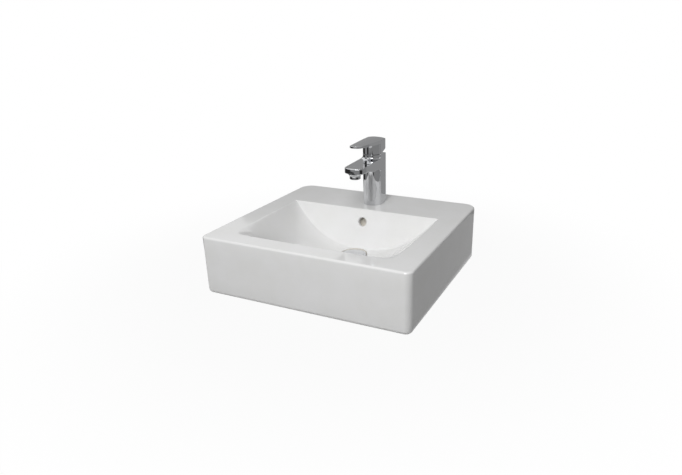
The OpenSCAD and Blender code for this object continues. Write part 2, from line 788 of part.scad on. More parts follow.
module lever_handle() color("lightsteelblue") at_tap() difference() {
    union() {
        difference() {
            union() {
                bore(column_r, lever_low, hub_top + over);
                intersection() {
                    along_x(flank_x) lever_profile();
                    translate([0, 0, lever_low]) linear_extrude(lever_h + 2 * over) lever_plan();
                    translate([0, tap_back + over, 0]) rotate([90, 0, 0]) {
                        linear_extrude(lever_reach + lever_tip_r + tap_back + 2 * over) lever_section();
                    }
                }
            }
            bore(column_r - hub_wall, lever_low - over, hub_top);
        }
        bore(lever_boss_r, lever_boss_low, hub_top + over);
    }
    translate([0, 0, lever_low]) rotate([lift_clearance, 0, 0]) {
        block(2 * flank_x, 0, 2 * tap_back, -tap_back, 0);
    }
    half = spindle_d / 2 + slip;
    block(spindle_t / 2 + slip, -half, half, lever_boss_low - over, socket_top);
    translate([0, 0, screw_h]) rotate([-90, 0, 0]) {
        cylinder(r = screw_r + skin, h = tap_back);
        translate([0, 0, tap_back - plug_len]) cylinder(r = plug_r + skin, h = plug_len + over);
    }
}
module lever_screw() color("dimgray") at_screw(spindle_d / 2 + skin) difference() {
    cylinder(r = screw_r, h = screw_len);
    translate([0, 0, screw_len - key_depth]) cylinder(r = key_r, h = key_depth + over, $fn = 6);
}
module lever_plug() color("lightsteelblue") at_screw(tap_back - plug_len) cylinder(r = plug_r, h = plug_len);

// Waste: a flanged and slotted tube clamped through the bowl's floor
module waste_body() color("lightsteelblue") at_drain() difference() {
    union() {
        rotate_extrude() {
            translate([0, tail_z]) square([waste_r, tail_free]);
            translate([0, tail_z]) square([waste_r - loose, flange_z - tail_z]);
            translate([0, flange_z - flange_t]) square([flange_r - 1.5, flange_t]);
            translate([0, flange_z - flange_t]) square([flange_r, 1.5]);
            translate([flange_r - 1.5, flange_z - flange_t + 1.5]) circle(1.5);
            translate([0, ledge_z - 2]) square([waste_hole_r - 0.5, flange_z - ledge_z]);
        }
    }
    difference() {
        bore(waste_bore_r, tail_z - over, flange_z + over);
        block(bar_w / 2, -waste_r, waste_r, bar_z, bar_z + bar_t);
    }
    bore(pocket_r, ledge_z, flange_z + over);
    bore(barrel_stud_r + skin, bar_z - over, bar_z + bar_t + over);
    block(bar_w / 2 + 1.5, -waste_hole_r, waste_hole_r, slot_z, slot_z + slot_h);
}
module flange_seal() color("dimgray") at_drain() tube(flange_r - 1, waste_hole_r + 1, seat_z, flange_seal_t);
module waste_washer() color("dimgray") at_drain() {
    tube(flange_r - 1, waste_r + loose, boss_z - washer_t, washer_t);
}
module waste_backnut() color("goldenrod") at_drain() difference() {
    union() {
        translate([0, 0, backnut_z]) cylinder(r = flange_r - 2.5, h = backnut_h - 1.5, $fn = 6);
        bore(flange_r - 1.5, backnut_z + backnut_h - 1.5, backnut_z + backnut_h);
    }
    bore(waste_r + running, backnut_z - over, backnut_z + backnut_h + over);
}

// Plug: a crowned cap on a sprung plunger, held up or down by the click barrel
module click_barrel() color("gainsboro") at_drain() difference() {
    union() {
        bore(barrel_r, barrel_z, barrel_top + barrel_end_t);
        bore(barrel_stud_r, bar_z, barrel_z + over);
    }
    bore(barrel_bore_r, spring_z, barrel_top);
    bore(plunger_r + running, spring_z, barrel_top + barrel_end_t + over);
}
module plug_spring() color("silver") at_drain() {
    steps = spring_turns * spring_steps;
    sides = spring_sides;
    points = [for (i = [0:steps]) let (a = 360 * i / spring_steps, z = spring_gap * i / spring_steps)
        for (k = [0:sides - 1]) let (b = 360 * k / sides, r = spring_r + spring_wire_r * cos(b))
            [r * cos(a), r * sin(a), spring_z + spring_wire_r + z + spring_wire_r * sin(b)]];
    around = [for (i = [0:steps - 1]) for (k = [0:sides - 1]) for (h = [0, 1])
        let (p = i * sides + k, q = i * sides + (k + 1) % sides)
            h == 0 ? [p, q + sides, q] : [p, p + sides, q + sides]];
    ends = concat([for (k = [1:sides - 2]) [0, k, k + 1]],
        [for (k = [1:sides - 2]) [steps * sides, steps * sides + k + 1, steps * sides + k]]);
    polyhedron(points, concat(around, ends));
}
module plug_plunger() color("gainsboro") at_drain() {
    bore(plunger_r, spring_z + loose, plunger_top);
    bore(barrel_bore_r - loose, collar_z, collar_z + collar_h);
}
module plug_cap() color("lightsteelblue") at_drain() difference() {
    crown_r = (cap_r * cap_r + cap_crown * cap_crown) / (2 * cap_crown);
    union() {
        rotate_extrude() intersection() {
            translate([0, cap_z]) square([cap_r, cap_edge_t + cap_crown]);
            translate([0, cap_z + cap_edge_t + cap_crown - crown_r]) circle(r = crown_r, $fn = 720);
        }
        bore(plug_seal_r, seal_z + plug_seal_t, cap_z + over);
        bore(plug_core_r - skin, seal_z - 1, cap_z);
        bore(waste_bore_r - 0.5, seal_z - 1.5, seal_z - skin);
    }
    bore(barrel_r + 1.2, 0, cap_hollow_z);
    bore(plunger_r + skin, 0, plunger_top + skin);
}
module plug_seal() color("dimgray") at_drain() tube(plug_seal_r, plug_core_r, seal_z, plug_seal_t);

basin();
tap_body();
tap_base_seal();
mounting_stud();
clamp_gasket();
clamp_plate();
clamp_nut();
aerator_housing();
aerator_insert();
aerator_washer();
cartridge_base();
port_seals();
cartridge_housing();
fixed_disc();
moving_disc();
disc_carrier();
swivel_carriage();
pivot_pin();
cartridge_nut();
dome_cap();
lever_spindle();
lever_handle();
lever_screw();
lever_plug();
waste_body();
flange_seal();
waste_washer();
waste_backnut();
click_barrel();
plug_spring();
plug_plunger();
plug_cap();
plug_seal();
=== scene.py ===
# %% [markdown]
# # A countertop basin with a mixer tap
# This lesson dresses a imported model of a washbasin: one glazed casting, a chromed single-lever tap on its
# deck and a press-to-close waste in its bowl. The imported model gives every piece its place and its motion.
# Blender adds what the eye looks for: the soft lip of the bowl, the rounded edges of the chrome and the
# finishes.

# %% Load the frame
import json
import math
import bmesh
import bpy
import numpy as np
from mathutils import Matrix, Vector
from mathutils.geometry import delaunay_2d_cdt


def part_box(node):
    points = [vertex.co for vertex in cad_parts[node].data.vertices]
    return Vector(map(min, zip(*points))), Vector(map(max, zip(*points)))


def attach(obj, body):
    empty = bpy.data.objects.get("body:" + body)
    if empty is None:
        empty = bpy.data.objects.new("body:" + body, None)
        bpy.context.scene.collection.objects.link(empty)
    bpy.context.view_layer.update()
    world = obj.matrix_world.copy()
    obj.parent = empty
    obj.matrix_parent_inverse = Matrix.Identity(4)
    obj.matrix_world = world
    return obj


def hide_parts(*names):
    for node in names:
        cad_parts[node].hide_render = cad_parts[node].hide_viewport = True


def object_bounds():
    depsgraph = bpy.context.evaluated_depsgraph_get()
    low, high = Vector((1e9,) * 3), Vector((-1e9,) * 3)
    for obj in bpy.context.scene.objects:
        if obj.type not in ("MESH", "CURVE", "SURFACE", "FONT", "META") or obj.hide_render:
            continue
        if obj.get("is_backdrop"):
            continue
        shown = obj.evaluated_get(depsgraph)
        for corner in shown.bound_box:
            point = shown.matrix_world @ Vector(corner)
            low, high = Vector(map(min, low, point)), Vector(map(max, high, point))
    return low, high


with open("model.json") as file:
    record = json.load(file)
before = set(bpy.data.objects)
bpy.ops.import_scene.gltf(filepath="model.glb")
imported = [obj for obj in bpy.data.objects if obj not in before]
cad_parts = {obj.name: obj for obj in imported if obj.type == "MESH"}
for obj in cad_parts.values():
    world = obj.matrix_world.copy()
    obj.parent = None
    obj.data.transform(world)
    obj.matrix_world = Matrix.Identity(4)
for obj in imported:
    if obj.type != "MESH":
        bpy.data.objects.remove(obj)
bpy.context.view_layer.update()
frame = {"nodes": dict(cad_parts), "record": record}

# %% [markdown]
# ## Small helpers
# Lengths below are millimetres, because that is how a maker states them, and one factor turns them to
# metres. Colours are written as the hex values of a paint chart. A shader works in linear light, so one
# function converts them. Shader and geometry trees are both built by one function that adds a node, sets it
# and links it.

# %% Helpers for units, colours and nodes
MM = 0.001


def linear(hex_colour):
    channels = [int(hex_colour[i:i + 2], 16) / 255 for i in (1, 3, 5)]
    return [c / 12.92 if c <= 0.04045 else ((c + 0.055) / 1.055) ** 2.4 for c in channels] + [1.0]


def add(tree, kind, inputs=None, **settings):
    made = tree.nodes.new(kind)
    for key, value in settings.items():
        setattr(made, key, value)
    for socket, value in (inputs or {}).items():
        if isinstance(value, bpy.types.NodeSocket):
            tree.links.new(value, made.inputs[socket])
        else:
            made.inputs[socket].default_value = value
    return made


print("white", [round(c, 3) for c in linear("#FFFFFF")], "mid grey", [round(c, 3) for c in linear("#808080")])

# %% [markdown]
# Meshes are made from plain lists of points and faces. Curves could be filled and bevelled instead, but a
# list of points holds its sizes exactly. A turned piece is a profile spun round its axis, and its first and
# last points may lie on the axis, where they become a single point. A prism is an outline pushed along one
# axis, from low to high.

# %% Helpers for meshes
def mesh_object(name, points, faces):
    mesh = bpy.data.meshes.new(name)
    mesh.from_pydata([[c * MM for c in p] for p in points], [], faces)
    mesh.update()
    made = bpy.data.objects.new(name, mesh)
    bpy.context.scene.collection.objects.link(made)
    return made


def arc(cx, cy, r, start, end, steps):
    angles = [math.radians(start + (end - start) * i / steps) for i in range(steps + 1)]
    return [(cx + r * math.cos(a), cy + r * math.sin(a)) for a in angles]


def tidy(made):
    work = bmesh.new()
    work.from_mesh(made.data)
    bmesh.ops.remove_doubles(work, verts=work.verts, dist=1e-4 * MM)
    bmesh.ops.recalc_face_normals(work, faces=work.faces)
    work.to_mesh(made.data)
    work.free()
    return made


def turned(name, profile, centre, steps=96):
    points, faces, rows = [], [], []
    for r, z in profile:
        start = len(points)
        if r < 1e-9:
            points.append((centre[0], centre[1], centre[2] + z))
            rows.append([start] * steps)
        else:
            for k in range(steps):
                a = 2 * math.pi * k / steps
                points.append((centre[0] + r * math.cos(a), centre[1] + r * math.sin(a), centre[2] + z))
            rows.append([start + k for k in range(steps)])
    for low, high in zip(rows, rows[1:]):
        for k in range(steps):
            ring = [low[k], low[(k + 1) % steps], high[(k + 1) % steps], high[k]]
            face = list(dict.fromkeys(ring))
            if len(face) > 2:
                faces.append(face)
    return tidy(mesh_object(name, points, faces))


def prism(name, outline, axis, low, high):
    n = len(outline)
    order = {"x": (2, 0, 1), "y": (0, 2, 1), "z": (0, 1, 2)}[axis]
    points = [tuple((a, b, c)[i] for i in order) for c in (low, high) for a, b in outline]
    sides = [[i, (i + 1) % n, n + (i + 1) % n, n + i] for i in range(n)]
    return tidy(mesh_object(name, points, sides + [list(range(n)), list(range(n, 2 * n))]))


print("mesh helpers ready")

# %% [markdown]
# Solids are joined and cut with the exact boolean, and their edges are then rounded with a bevel, because a
# real chromed casting is polished and has no sharp edge. The bevel is what catches the light along every
# edge. Its width can change along an edge, so each edge gets its own share of it. The edges could be
# modelled loop by loop instead, but joining and cutting follow the way in which a casting is made and then
# bored.

# %% Helpers for solids and their edges
def plain_mesh(made):
    """Turns an object with its modifiers into a plain mesh."""
    bpy.context.view_layer.update()
    graph = bpy.context.evaluated_depsgraph_get()
    mesh = bpy.data.meshes.new_from_object(made.evaluated_get(graph))
    made.modifiers.clear()
    old, made.data = made.data, mesh
    bpy.data.meshes.remove(old)
    return made


def combine(base, tool, how):
    change = base.modifiers.new("combine", "BOOLEAN")
    change.object, change.operation, change.solver = tool, how, "EXACT"
    plain_mesh(base)
    bpy.data.objects.remove(tool)
    return base


def rounded(made, width, share, steps=4, sharp_angle=32, flat_angle=0.4):
    """Rounds the edges sharper than sharp_angle. share(x, y, z) is an edge's part of the width."""
    work = bmesh.new()
    work.from_mesh(made.data)
    bmesh.ops.dissolve_degenerate(work, edges=work.edges, dist=0.02 * MM)
    bmesh.ops.dissolve_limit(work, angle_limit=math.radians(flat_angle), verts=work.verts, edges=work.edges)
    weight = work.edges.layers.float.new("bevel_weight_edge")
    for edge in work.edges:
        if len(edge.link_faces) == 2 and edge.calc_face_angle() > math.radians(sharp_angle):
            edge[weight] = share(*((edge.verts[0].co + edge.verts[1].co) / (2 * MM)))
    for face in work.faces:
        face.smooth = True
    work.to_mesh(made.data)
    work.free()
    soften = made.modifiers.new("rounded", "BEVEL")
    soften.width, soften.segments, soften.limit_method = width * MM, steps, "WEIGHT"
    soften.use_clamp_overlap = False
    level = made.modifiers.new("level", "WEIGHTED_NORMAL")
    level.mode, level.weight = "FACE_AREA", 100
    return plain_mesh(made)


def smooth(made, angle):
    for face in made.data.polygons:
        face.use_smooth = True
    made.data.set_sharp_from_angle(angle=math.radians(angle))
    return made


print("solid helpers ready")

# %% [markdown]
# ## Camera and room
# The camera's place was found from the straight edges of the basin in the photograph: it stands to the
# right of the basin's middle, about 1.4 m away, and looks down 22 degrees. The lens is a little wide, so
# the verticals lean.

# %% Camera
camera_azimuth, camera_elevation, camera_roll = math.radians(25.56), math.radians(22.05), math.radians(-0.85)
camera_place = Vector((0.605, -1.1594, 0.5878))
back = Vector((math.sin(camera_azimuth) * math.cos(camera_elevation),
               -math.cos(camera_azimuth) * math.cos(camera_elevation), math.sin(camera_elevation)))
right = Vector((math.cos(camera_azimuth), math.sin(camera_azimuth), 0))
up = back.cross(right)
turn_right = right * math.cos(camera_roll) + up * math.sin(camera_roll)
turn_up = up * math.cos(camera_roll) - right * math.sin(camera_roll)
camera_data = bpy.data.cameras.new("camera")
camera_data.lens, camera_data.sensor_width = 30.812, 36
camera_data.shift_x, camera_data.shift_y = -0.0388, 0.0184
camera = bpy.data.objects.new("camera", camera_data)
turning = Matrix((turn_right, turn_up, back)).transposed().to_4x4()
camera.matrix_world = Matrix.Translation(camera_place) @ turning
bpy.context.scene.collection.objects.link(camera)
bpy.context.scene.camera = camera
bpy.context.scene.view_settings.view_transform = "Standard"
print("camera at", [round(v, 3) for v in camera.location])

# %% [markdown]
# The room is a plain floor in a soft grey world. A ray from the camera, or one bounced off chrome or
# through glass, sees the floor and the backdrop as white paper. The light that falls on the object is
# another matter: for it the floor is mid grey, and the world is dimmer on the right, so that the two sides
# of the basin differ. Walls and cards that light the object could do the same, but one mix on the floor and
# one in the world are easier to set.

# %% Floor and world
def seen_rays(tree):
    """1 for the rays that show the room to the eye, 0 for those that light the object."""
    rays = add(tree, "ShaderNodeLightPath").outputs
    direct = {0: rays["Is Camera Ray"], 1: rays["Is Glossy Ray"]}
    either = add(tree, "ShaderNodeMath", direct, operation="MAXIMUM").outputs[0]
    every = {0: either, 1: rays["Is Transmission Ray"]}
    return add(tree, "ShaderNodeMath", every, operation="MAXIMUM").outputs[0]


def paper_finish(name, near, lit):
    """White paper to the eye. Close to the object the share of white is near, so it still takes a shadow."""
    material = bpy.data.materials.new(name)
    material.use_nodes = True
    tree = material.node_tree
    tree.nodes.clear()
    seen = seen_rays(tree)
    place = add(tree, "ShaderNodeTexCoord").outputs["Object"]
    away = add(tree, "ShaderNodeVectorMath", {0: place}, operation="LENGTH").outputs["Value"]
    reach = {"Value": away, "From Min": 0.3, "From Max": 0.9, "To Min": near, "To Max": 1.0}
    whiter = add(tree, "ShaderNodeMapRange", reach, interpolation_type="SMOOTHSTEP").outputs["Result"]
    share = add(tree, "ShaderNodeMath", {0: seen, 1: whiter}, operation="MULTIPLY")
    paper = add(tree, "ShaderNodeBsdfDiffuse", {"Color": linear(lit)})
    white = add(tree, "ShaderNodeEmission", {"Color": linear("#FFFFFF"), "Strength": 1.0})
    mixed = add(tree, "ShaderNodeMixShader", {0: share.outputs[0], 1: paper.outputs[0], 2: white.outputs[0]})
    add(tree, "ShaderNodeOutputMaterial", {"Surface": mixed.outputs[0]})
    return material


floor_half, floor_z = 4000, -0.4
floor = mesh_object("floor", [(x * floor_half, y * floor_half, floor_z)
                              for x, y in ((-1, -1), (1, -1), (1, 1), (-1, 1))], [[0, 1, 2, 3]])
floor.data.materials.append(paper_finish("pale_paper", near=0.95, lit="#808080"))
floor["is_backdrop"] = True

world = bpy.data.worlds.new("studio")
bpy.context.scene.world = world
world.use_nodes = True
sky = world.node_tree
sky.nodes.clear()
sky_seen = seen_rays(sky)
towards = add(sky, "ShaderNodeSeparateXYZ", {"Vector": add(sky, "ShaderNodeTexCoord").outputs["Generated"]})
dimming = {"Value": towards.outputs["X"], "From Min": -0.3, "From Max": 0.8, "To Min": 0.36, "To Max": 0.09}
dimmer = add(sky, "ShaderNodeMapRange", dimming, interpolation_type="SMOOTHSTEP")
white_light = linear("#FFFFFF")
room_light = add(sky, "ShaderNodeBackground", {"Color": white_light, "Strength": dimmer.outputs["Result"]})
backdrop = add(sky, "ShaderNodeBackground", {"Color": white_light, "Strength": 1.0})
sky_mix = add(sky, "ShaderNodeMixShader", {0: sky_seen, 1: room_light.outputs[0], 2: backdrop.outputs[0]})
add(sky, "ShaderNodeOutputWorld", {"Surface": sky_mix.outputs[0]})
print("floor", 2 * floor_half * MM, "m wide")

# %% [markdown]
# One large soft lamp stands in front and above, as a window or a softbox would. Several small lamps could
# light the basin too, but the glaze would mirror each of them as a spot. Its size makes the shadows soft,
# and its power is set so that the glaze renders about as pale as it is written.

# %% Lamp
lamp_data = bpy.data.lights.new("front_softbox", "AREA")
lamp_data.shape, lamp_data.size, lamp_data.size_y, lamp_data.energy = "RECTANGLE", 1.3, 1.7, 54
lamp = bpy.data.objects.new("front_softbox", lamp_data)
lamp.location = (0.4, -1.8, 2.0)
lamp_target = Vector((0, 0, 0.1))
lamp.rotation_euler = (lamp_target - lamp.location).to_track_quat("-Z", "Y").to_euler()
bpy.context.scene.collection.objects.link(lamp)
print("lamp", lamp_data.energy, "W")

# %% [markdown]
# Polished metal shows only what it mirrors, and in a white room it would vanish. A photographer therefore
# sets up grey and dark cards round a tap. These cards are seen only in reflections: they cast no shadow and
# light nothing. Each has one face, and from behind it lets every ray through. The glaze shines too, so it
# mirrors the large cards, and the pale one on the floor keeps the basin's right side even. Left of the tap
# an upright card would leave a dark patch on the front rim, so blinds stand there. Their slats face the tap
# and the sky: the tap's side mirrors a view that goes down and meets the faces of the slats, and the glaze
# mirrors one that goes up and meets only their backs.

# %% Cards and blinds
def card(name, corners, grey):
    """One mesh of four-cornered faces that glow in a grey, from the front and in reflections only."""
    made = mesh_object(name, corners, [list(range(first, first + 4)) for first in range(0, len(corners), 4)])
    material = bpy.data.materials.new(name)
    material.use_nodes = True
    tree = material.node_tree
    tree.nodes.clear()
    glow = add(tree, "ShaderNodeEmission", {"Color": linear(grey), "Strength": 1.0})
    clear = add(tree, "ShaderNodeBsdfTransparent")
    behind = add(tree, "ShaderNodeNewGeometry").outputs["Backfacing"]
    sided = add(tree, "ShaderNodeMixShader", {0: behind, 1: glow.outputs[0], 2: clear.outputs[0]})
    add(tree, "ShaderNodeOutputMaterial", {"Surface": sided.outputs[0]})
    made.data.materials.append(material)
    made.visible_camera = made.visible_diffuse = made.visible_shadow = made.visible_transmission = False
    made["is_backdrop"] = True
    return made


def panel(name, low, high, grey, flip=False):
    """A level or upright card between two opposite corners, which share one coordinate."""
    (x0, y0, z0), (x1, y1, z1) = low, high
    if z0 == z1:
        corners = [(x0, y0, z0), (x1, y0, z0), (x1, y1, z0), (x0, y1, z0)]
    else:
        corners = [(x0, y0, z0), (x1, y1, z0), (x1, y1, z1), (x0, y0, z1)]
    return card(name, corners[::-1] if flip else corners, grey)


def blind(name, x, y0, y1, z0, z1, grey, slat=2, slat_depth=2.25):
    """A blind left of the tap: its slats face the tap and the sky, so the glaze below looks through them."""
    corners = []
    far = x - slat_depth * slat
    for step in range(round((z1 - z0) / slat)):
        low = z0 + step * slat
        corners += [(x, y0, low), (x, y1, low), (far, y1, low + slat), (far, y0, low + slat)]
    return card(name, corners, grey)


pale_grey, light_grey, mid_grey, dark_grey = "#CFCFCF", "#9D9D9D", "#8E8E8E", "#303030"
beside_x, ahead_y, card_low_z, card_high_z, ceiling_z = 75, -60, 183, 310, 1000
left_x, behind_y, wall_top_z = -520, 410, 160

behind = [(-900, 448, 43), (1500, 448, 43), (1500, 776, 520), (-900, 776, 520)]
behind_high = [(-335, 776, 520), (700, 776, 520), (700, 1150, 1050), (-290, 1150, 1050)]
card("card_behind", behind, light_grey)
card("card_behind_high", behind_high, light_grey)
panel("card_floor_right", (256, -600, 2), (1500, 1100, 2), pale_grey)
panel("card_left", (left_x, -218, 2), (left_x, behind_y, wall_top_z), "#2A2A2A")
panel("card_low", (left_x, behind_y, 2), (-200, behind_y, wall_top_z), "#2A2A2A")
panel("card_front", (-260, ahead_y, card_low_z), (260, ahead_y, 290), mid_grey, flip=True)
panel("card_tip", (-72, ahead_y + 2, 190), (-10, ahead_y + 2, 222), "#3C3C3C", flip=True)
panel("card_near_right", (beside_x, ahead_y, card_low_z), (beside_x, 160, card_high_z), mid_grey, flip=True)
blind("blind_left", -beside_x, 45, 105, card_low_z, card_high_z, mid_grey)
blind("blind_left_tip", -beside_x, ahead_y, 45, card_low_z, card_high_z, dark_grey)
blind("blind_left_back", -beside_x, 105, 180, 215, card_high_z, dark_grey)
panel("card_hub", (-beside_x, 60, 280), (-beside_x, 120, 340), dark_grey)
panel("card_ring", (-60, ahead_y + 2, 246), (80, ahead_y + 2, 267), "#F4F4F4", flip=True)
panel("card_tip_right", (beside_x - 1, ahead_y, card_low_z), (beside_x - 1, 42, 238), dark_grey, flip=True)
panel("card_above", (-200, 0, ceiling_z), (700, 900, ceiling_z), light_grey, flip=True)
panel("card_above_right", (-100, -900, ceiling_z), (1000, 0, ceiling_z), light_grey, flip=True)

# %% [markdown]
# ## Finishes
# Each finish starts from the real material. Vitreous china is fired clay under a glassy glaze: the glaze is
# a thin pool that settled in the kiln, so its surface is glossy but very slightly rippled, like still
# water. Chrome is a bright layer plated on polished brass: it mirrors the room and shows only a faint haze
# of wear. Painted images could give both, but noise of a stated size in millimetres needs no image, and it
# stays the same size on every piece.

# %% Glaze and chrome
def finish(name):
    material = bpy.data.materials.new(name)
    material.use_nodes = True
    tree = material.node_tree
    surface = tree.nodes["Principled BSDF"]
    place = add(tree, "ShaderNodeTexCoord").outputs["Object"]
    return material, tree, surface, place


def mottled(tree, place, size_mm, low, high, detail=3.0):
    """A colour that wanders between two hex colours, in spots of about size_mm."""
    grain = add(tree, "ShaderNodeTexNoise", {"Vector": place, "Scale": 1 / (size_mm * MM), "Detail": detail})
    ramp = add(tree, "ShaderNodeValToRGB", {"Fac": grain.outputs["Fac"]})
    first, last = ramp.color_ramp.elements
    first.position, last.position = 0.35, 0.65
    first.color, last.color = linear(low), linear(high)
    return ramp.outputs["Color"]


def between(tree, place, size_mm, low, high, detail=2.0):
    """A number that wanders between low and high, for roughness."""
    grain = add(tree, "ShaderNodeTexNoise", {"Vector": place, "Scale": 1 / (size_mm * MM), "Detail": detail})
    spread = {"Value": grain.outputs["Fac"], "From Min": 0.3, "From Max": 0.7, "To Min": low, "To Max": high}
    return add(tree, "ShaderNodeMapRange", spread).outputs["Result"]


def ripple(tree, place, size_mm, height_mm, detail=2.0, normal=None):
    """A surface that swells by height_mm over about size_mm, on top of another ripple where one is given."""
    grain = add(tree, "ShaderNodeTexNoise", {"Vector": place, "Scale": 1 / (size_mm * MM), "Detail": detail})
    inputs = {"Height": grain.outputs["Fac"], "Strength": 1.0, "Distance": height_mm * MM}
    if normal is not None:
        inputs["Normal"] = normal
    return add(tree, "ShaderNodeBump", inputs).outputs["Normal"]


glaze, tree, surface, place = finish("vitreous_china_glaze")
tree.links.new(mottled(tree, place, 60, "#E5E5E4", "#E8E8E8"), surface.inputs["Base Color"])
tree.links.new(between(tree, place, 35, 0.07, 0.11), surface.inputs["Roughness"])
surface.inputs["IOR"].default_value = 1.52
swell = ripple(tree, place, 45, 0.05)
tree.links.new(ripple(tree, place, 2.2, 0.004, normal=swell), surface.inputs["Normal"])

chrome, tree, surface, place = finish("bright_chrome_plate")
surface.inputs["Base Color"].default_value = linear("#D5D6D8")
surface.inputs["Metallic"].default_value = 1.0
tree.links.new(between(tree, place, 18, 0.035, 0.075), surface.inputs["Roughness"])
tree.links.new(ripple(tree, place, 30, 0.012), surface.inputs["Normal"])
print("glaze and chrome ready")

# %% [markdown]
# The hidden pieces have their own finishes. The unglazed foot of a basin is bare fired clay: chalky and
# finely pitted. Brass nuts are turned, and the steel stud and clamp are zinc plated and slightly cloudy.
# Seals are moulded rubber, the cartridge is moulded acetal, and its two discs are lapped alumina, smooth
# and ivory. The marks that a lathe or a mould leaves are too fine to show here, so they are drawn as pits a
# few tenths of a millimetre wide.

# %% Bare clay, brass, steel, rubber, plastics and alumina
def simple_finish(name, low, high, spot_mm, rough, pit_mm, pit_height, metallic=0.0, rough_spread=0.06):
    material, tree, surface, place = finish(name)
    tree.links.new(mottled(tree, place, spot_mm, low, high), surface.inputs["Base Color"])
    patchy = between(tree, place, spot_mm / 2, rough - rough_spread, rough + rough_spread)
    tree.links.new(patchy, surface.inputs["Roughness"])
    tree.links.new(ripple(tree, place, pit_mm, pit_height), surface.inputs["Normal"])
    surface.inputs["Metallic"].default_value = metallic
    return material


clay = simple_finish("bare_fired_clay", "#D9D4CA", "#DFDBD2", 14, 0.85, 0.7, 0.1)
brass = simple_finish("turned_brass", "#A8853C", "#C29E52", 9, 0.3, 0.5, 0.02, metallic=1.0)
steel = simple_finish("zinc_plated_steel", "#A9ABAE", "#C2C4C6", 5, 0.34, 0.4, 0.02, metallic=1.0)
rubber = simple_finish("moulded_rubber", "#151515", "#202020", 4, 0.72, 0.3, 0.03)
white_acetal = simple_finish("white_acetal", "#DAD8D0", "#E4E2DA", 12, 0.42, 0.6, 0.01)
blue_acetal = simple_finish("blue_acetal", "#1C4690", "#22509E", 12, 0.4, 0.6, 0.01)
alumina = simple_finish("lapped_alumina", "#E4DCCB", "#ECE6D8", 8, 0.2, 0.4, 0.003)
slots = {"glaze": glaze, "chrome": chrome, "rubber": rubber, "steel": steel, "brass": brass,
         "white_plastic": white_acetal, "blue_plastic": blue_acetal, "disc_ceramic": alumina}
for entry in frame["record"]["subparts"]:
    carried = frame["nodes"][entry["node"]]
    carried.data.materials.clear()
    carried.data.materials.append(slots[entry["material_slot"]])
print("finishes", len(slots) + 1)

# %% [markdown]
# ## The basin
# The bowl follows a rule. It could be sculpted under a subdivision modifier, but the rule keeps its oval
# and its flat wall exact. Across its width and from front to drain the section is a flattened oval, raised
# to a power that squares it off, and a soft lip lets it roll out of the deck with no edge. From the drain
# back the floor rises a little, up to a flat wall that leans.

# %% Rule of the bowl
basin_w, basin_d, basin_h = 500, 460, 137
side_rim_w, front_rim_w, tap_deck_d, deck_t, skirt_t = 53, 44, 144, 14, 14
front_corner_r, back_corner_r, top_edge_r, foot_edge_r = 16, 32, 5, 10
bowl_depth, floor_rise, drain_setback, tap_setback = 99, 3.5, 60, 57
bowl_square, bowl_full, lip_soft, rim_lift = 2.4, 0.8, 14, 0.4
lean = math.radians(15)

bowl_half_w = basin_w / 2 - side_rim_w
bowl_front_y, bowl_back_y = front_rim_w - basin_d / 2, basin_d / 2 - tap_deck_d
drain_y, tap_y = bowl_back_y - drain_setback, bowl_back_y + tap_setback
bowl_reach = drain_y - bowl_front_y
bowl_raw = math.sqrt((bowl_depth + lip_soft) ** 2 - lip_soft ** 2)
crease_run = drain_setback - bowl_depth * math.tan(lean)


def fill(t):
    return (1 - np.minimum(1, np.abs(t)) ** bowl_square) ** bowl_full


def bowl_height(x, y):
    y = np.asarray(y, float)
    front = fill((drain_y - y) / bowl_reach)
    rear = 1 - floor_rise / bowl_raw * ((y - drain_y) / crease_run) ** 2
    d = bowl_raw * fill(x / bowl_half_w) * np.where(y <= drain_y, front, rear)
    sunk = (1 + rim_lift / bowl_depth) * (np.sqrt(d * d + lip_soft ** 2) - lip_soft) - rim_lift
    soft = np.where(sunk > rim_lift, sunk, np.maximum(sunk + rim_lift, 0) ** 2 / (4 * rim_lift))
    return basin_h - soft


def wall_y(z):
    return bowl_back_y - math.tan(lean) * (basin_h - z)


print("bowl", 2 * bowl_half_w, "wide", bowl_back_y - bowl_front_y, "long, drain at", drain_y)

# %% [markdown]
# Each front-to-back section is the oval curve, a small round at its foot, the straight wall and a rounded
# edge. A node tree could lift a flat grid to the rule, but its rows would cross the crease at the wall's
# foot. So the sections are worked out one by one, and each puts its rows where floor, round and wall meet.
# A grid of them gives quads that follow the flow of the surface, which keeps its reflections clean. Near
# the sides the wall gets lower, so the round and the edge shrink with it.

# %% Sections of the bowl
foot_round, foot_share, wall_edge_r, edge_share = 7, 0.4, 4, 0.35
half_columns, front_rows, rear_rows, trial_rows, foot_rows, wall_rows = 60, 64, 19, 400, 8, 24


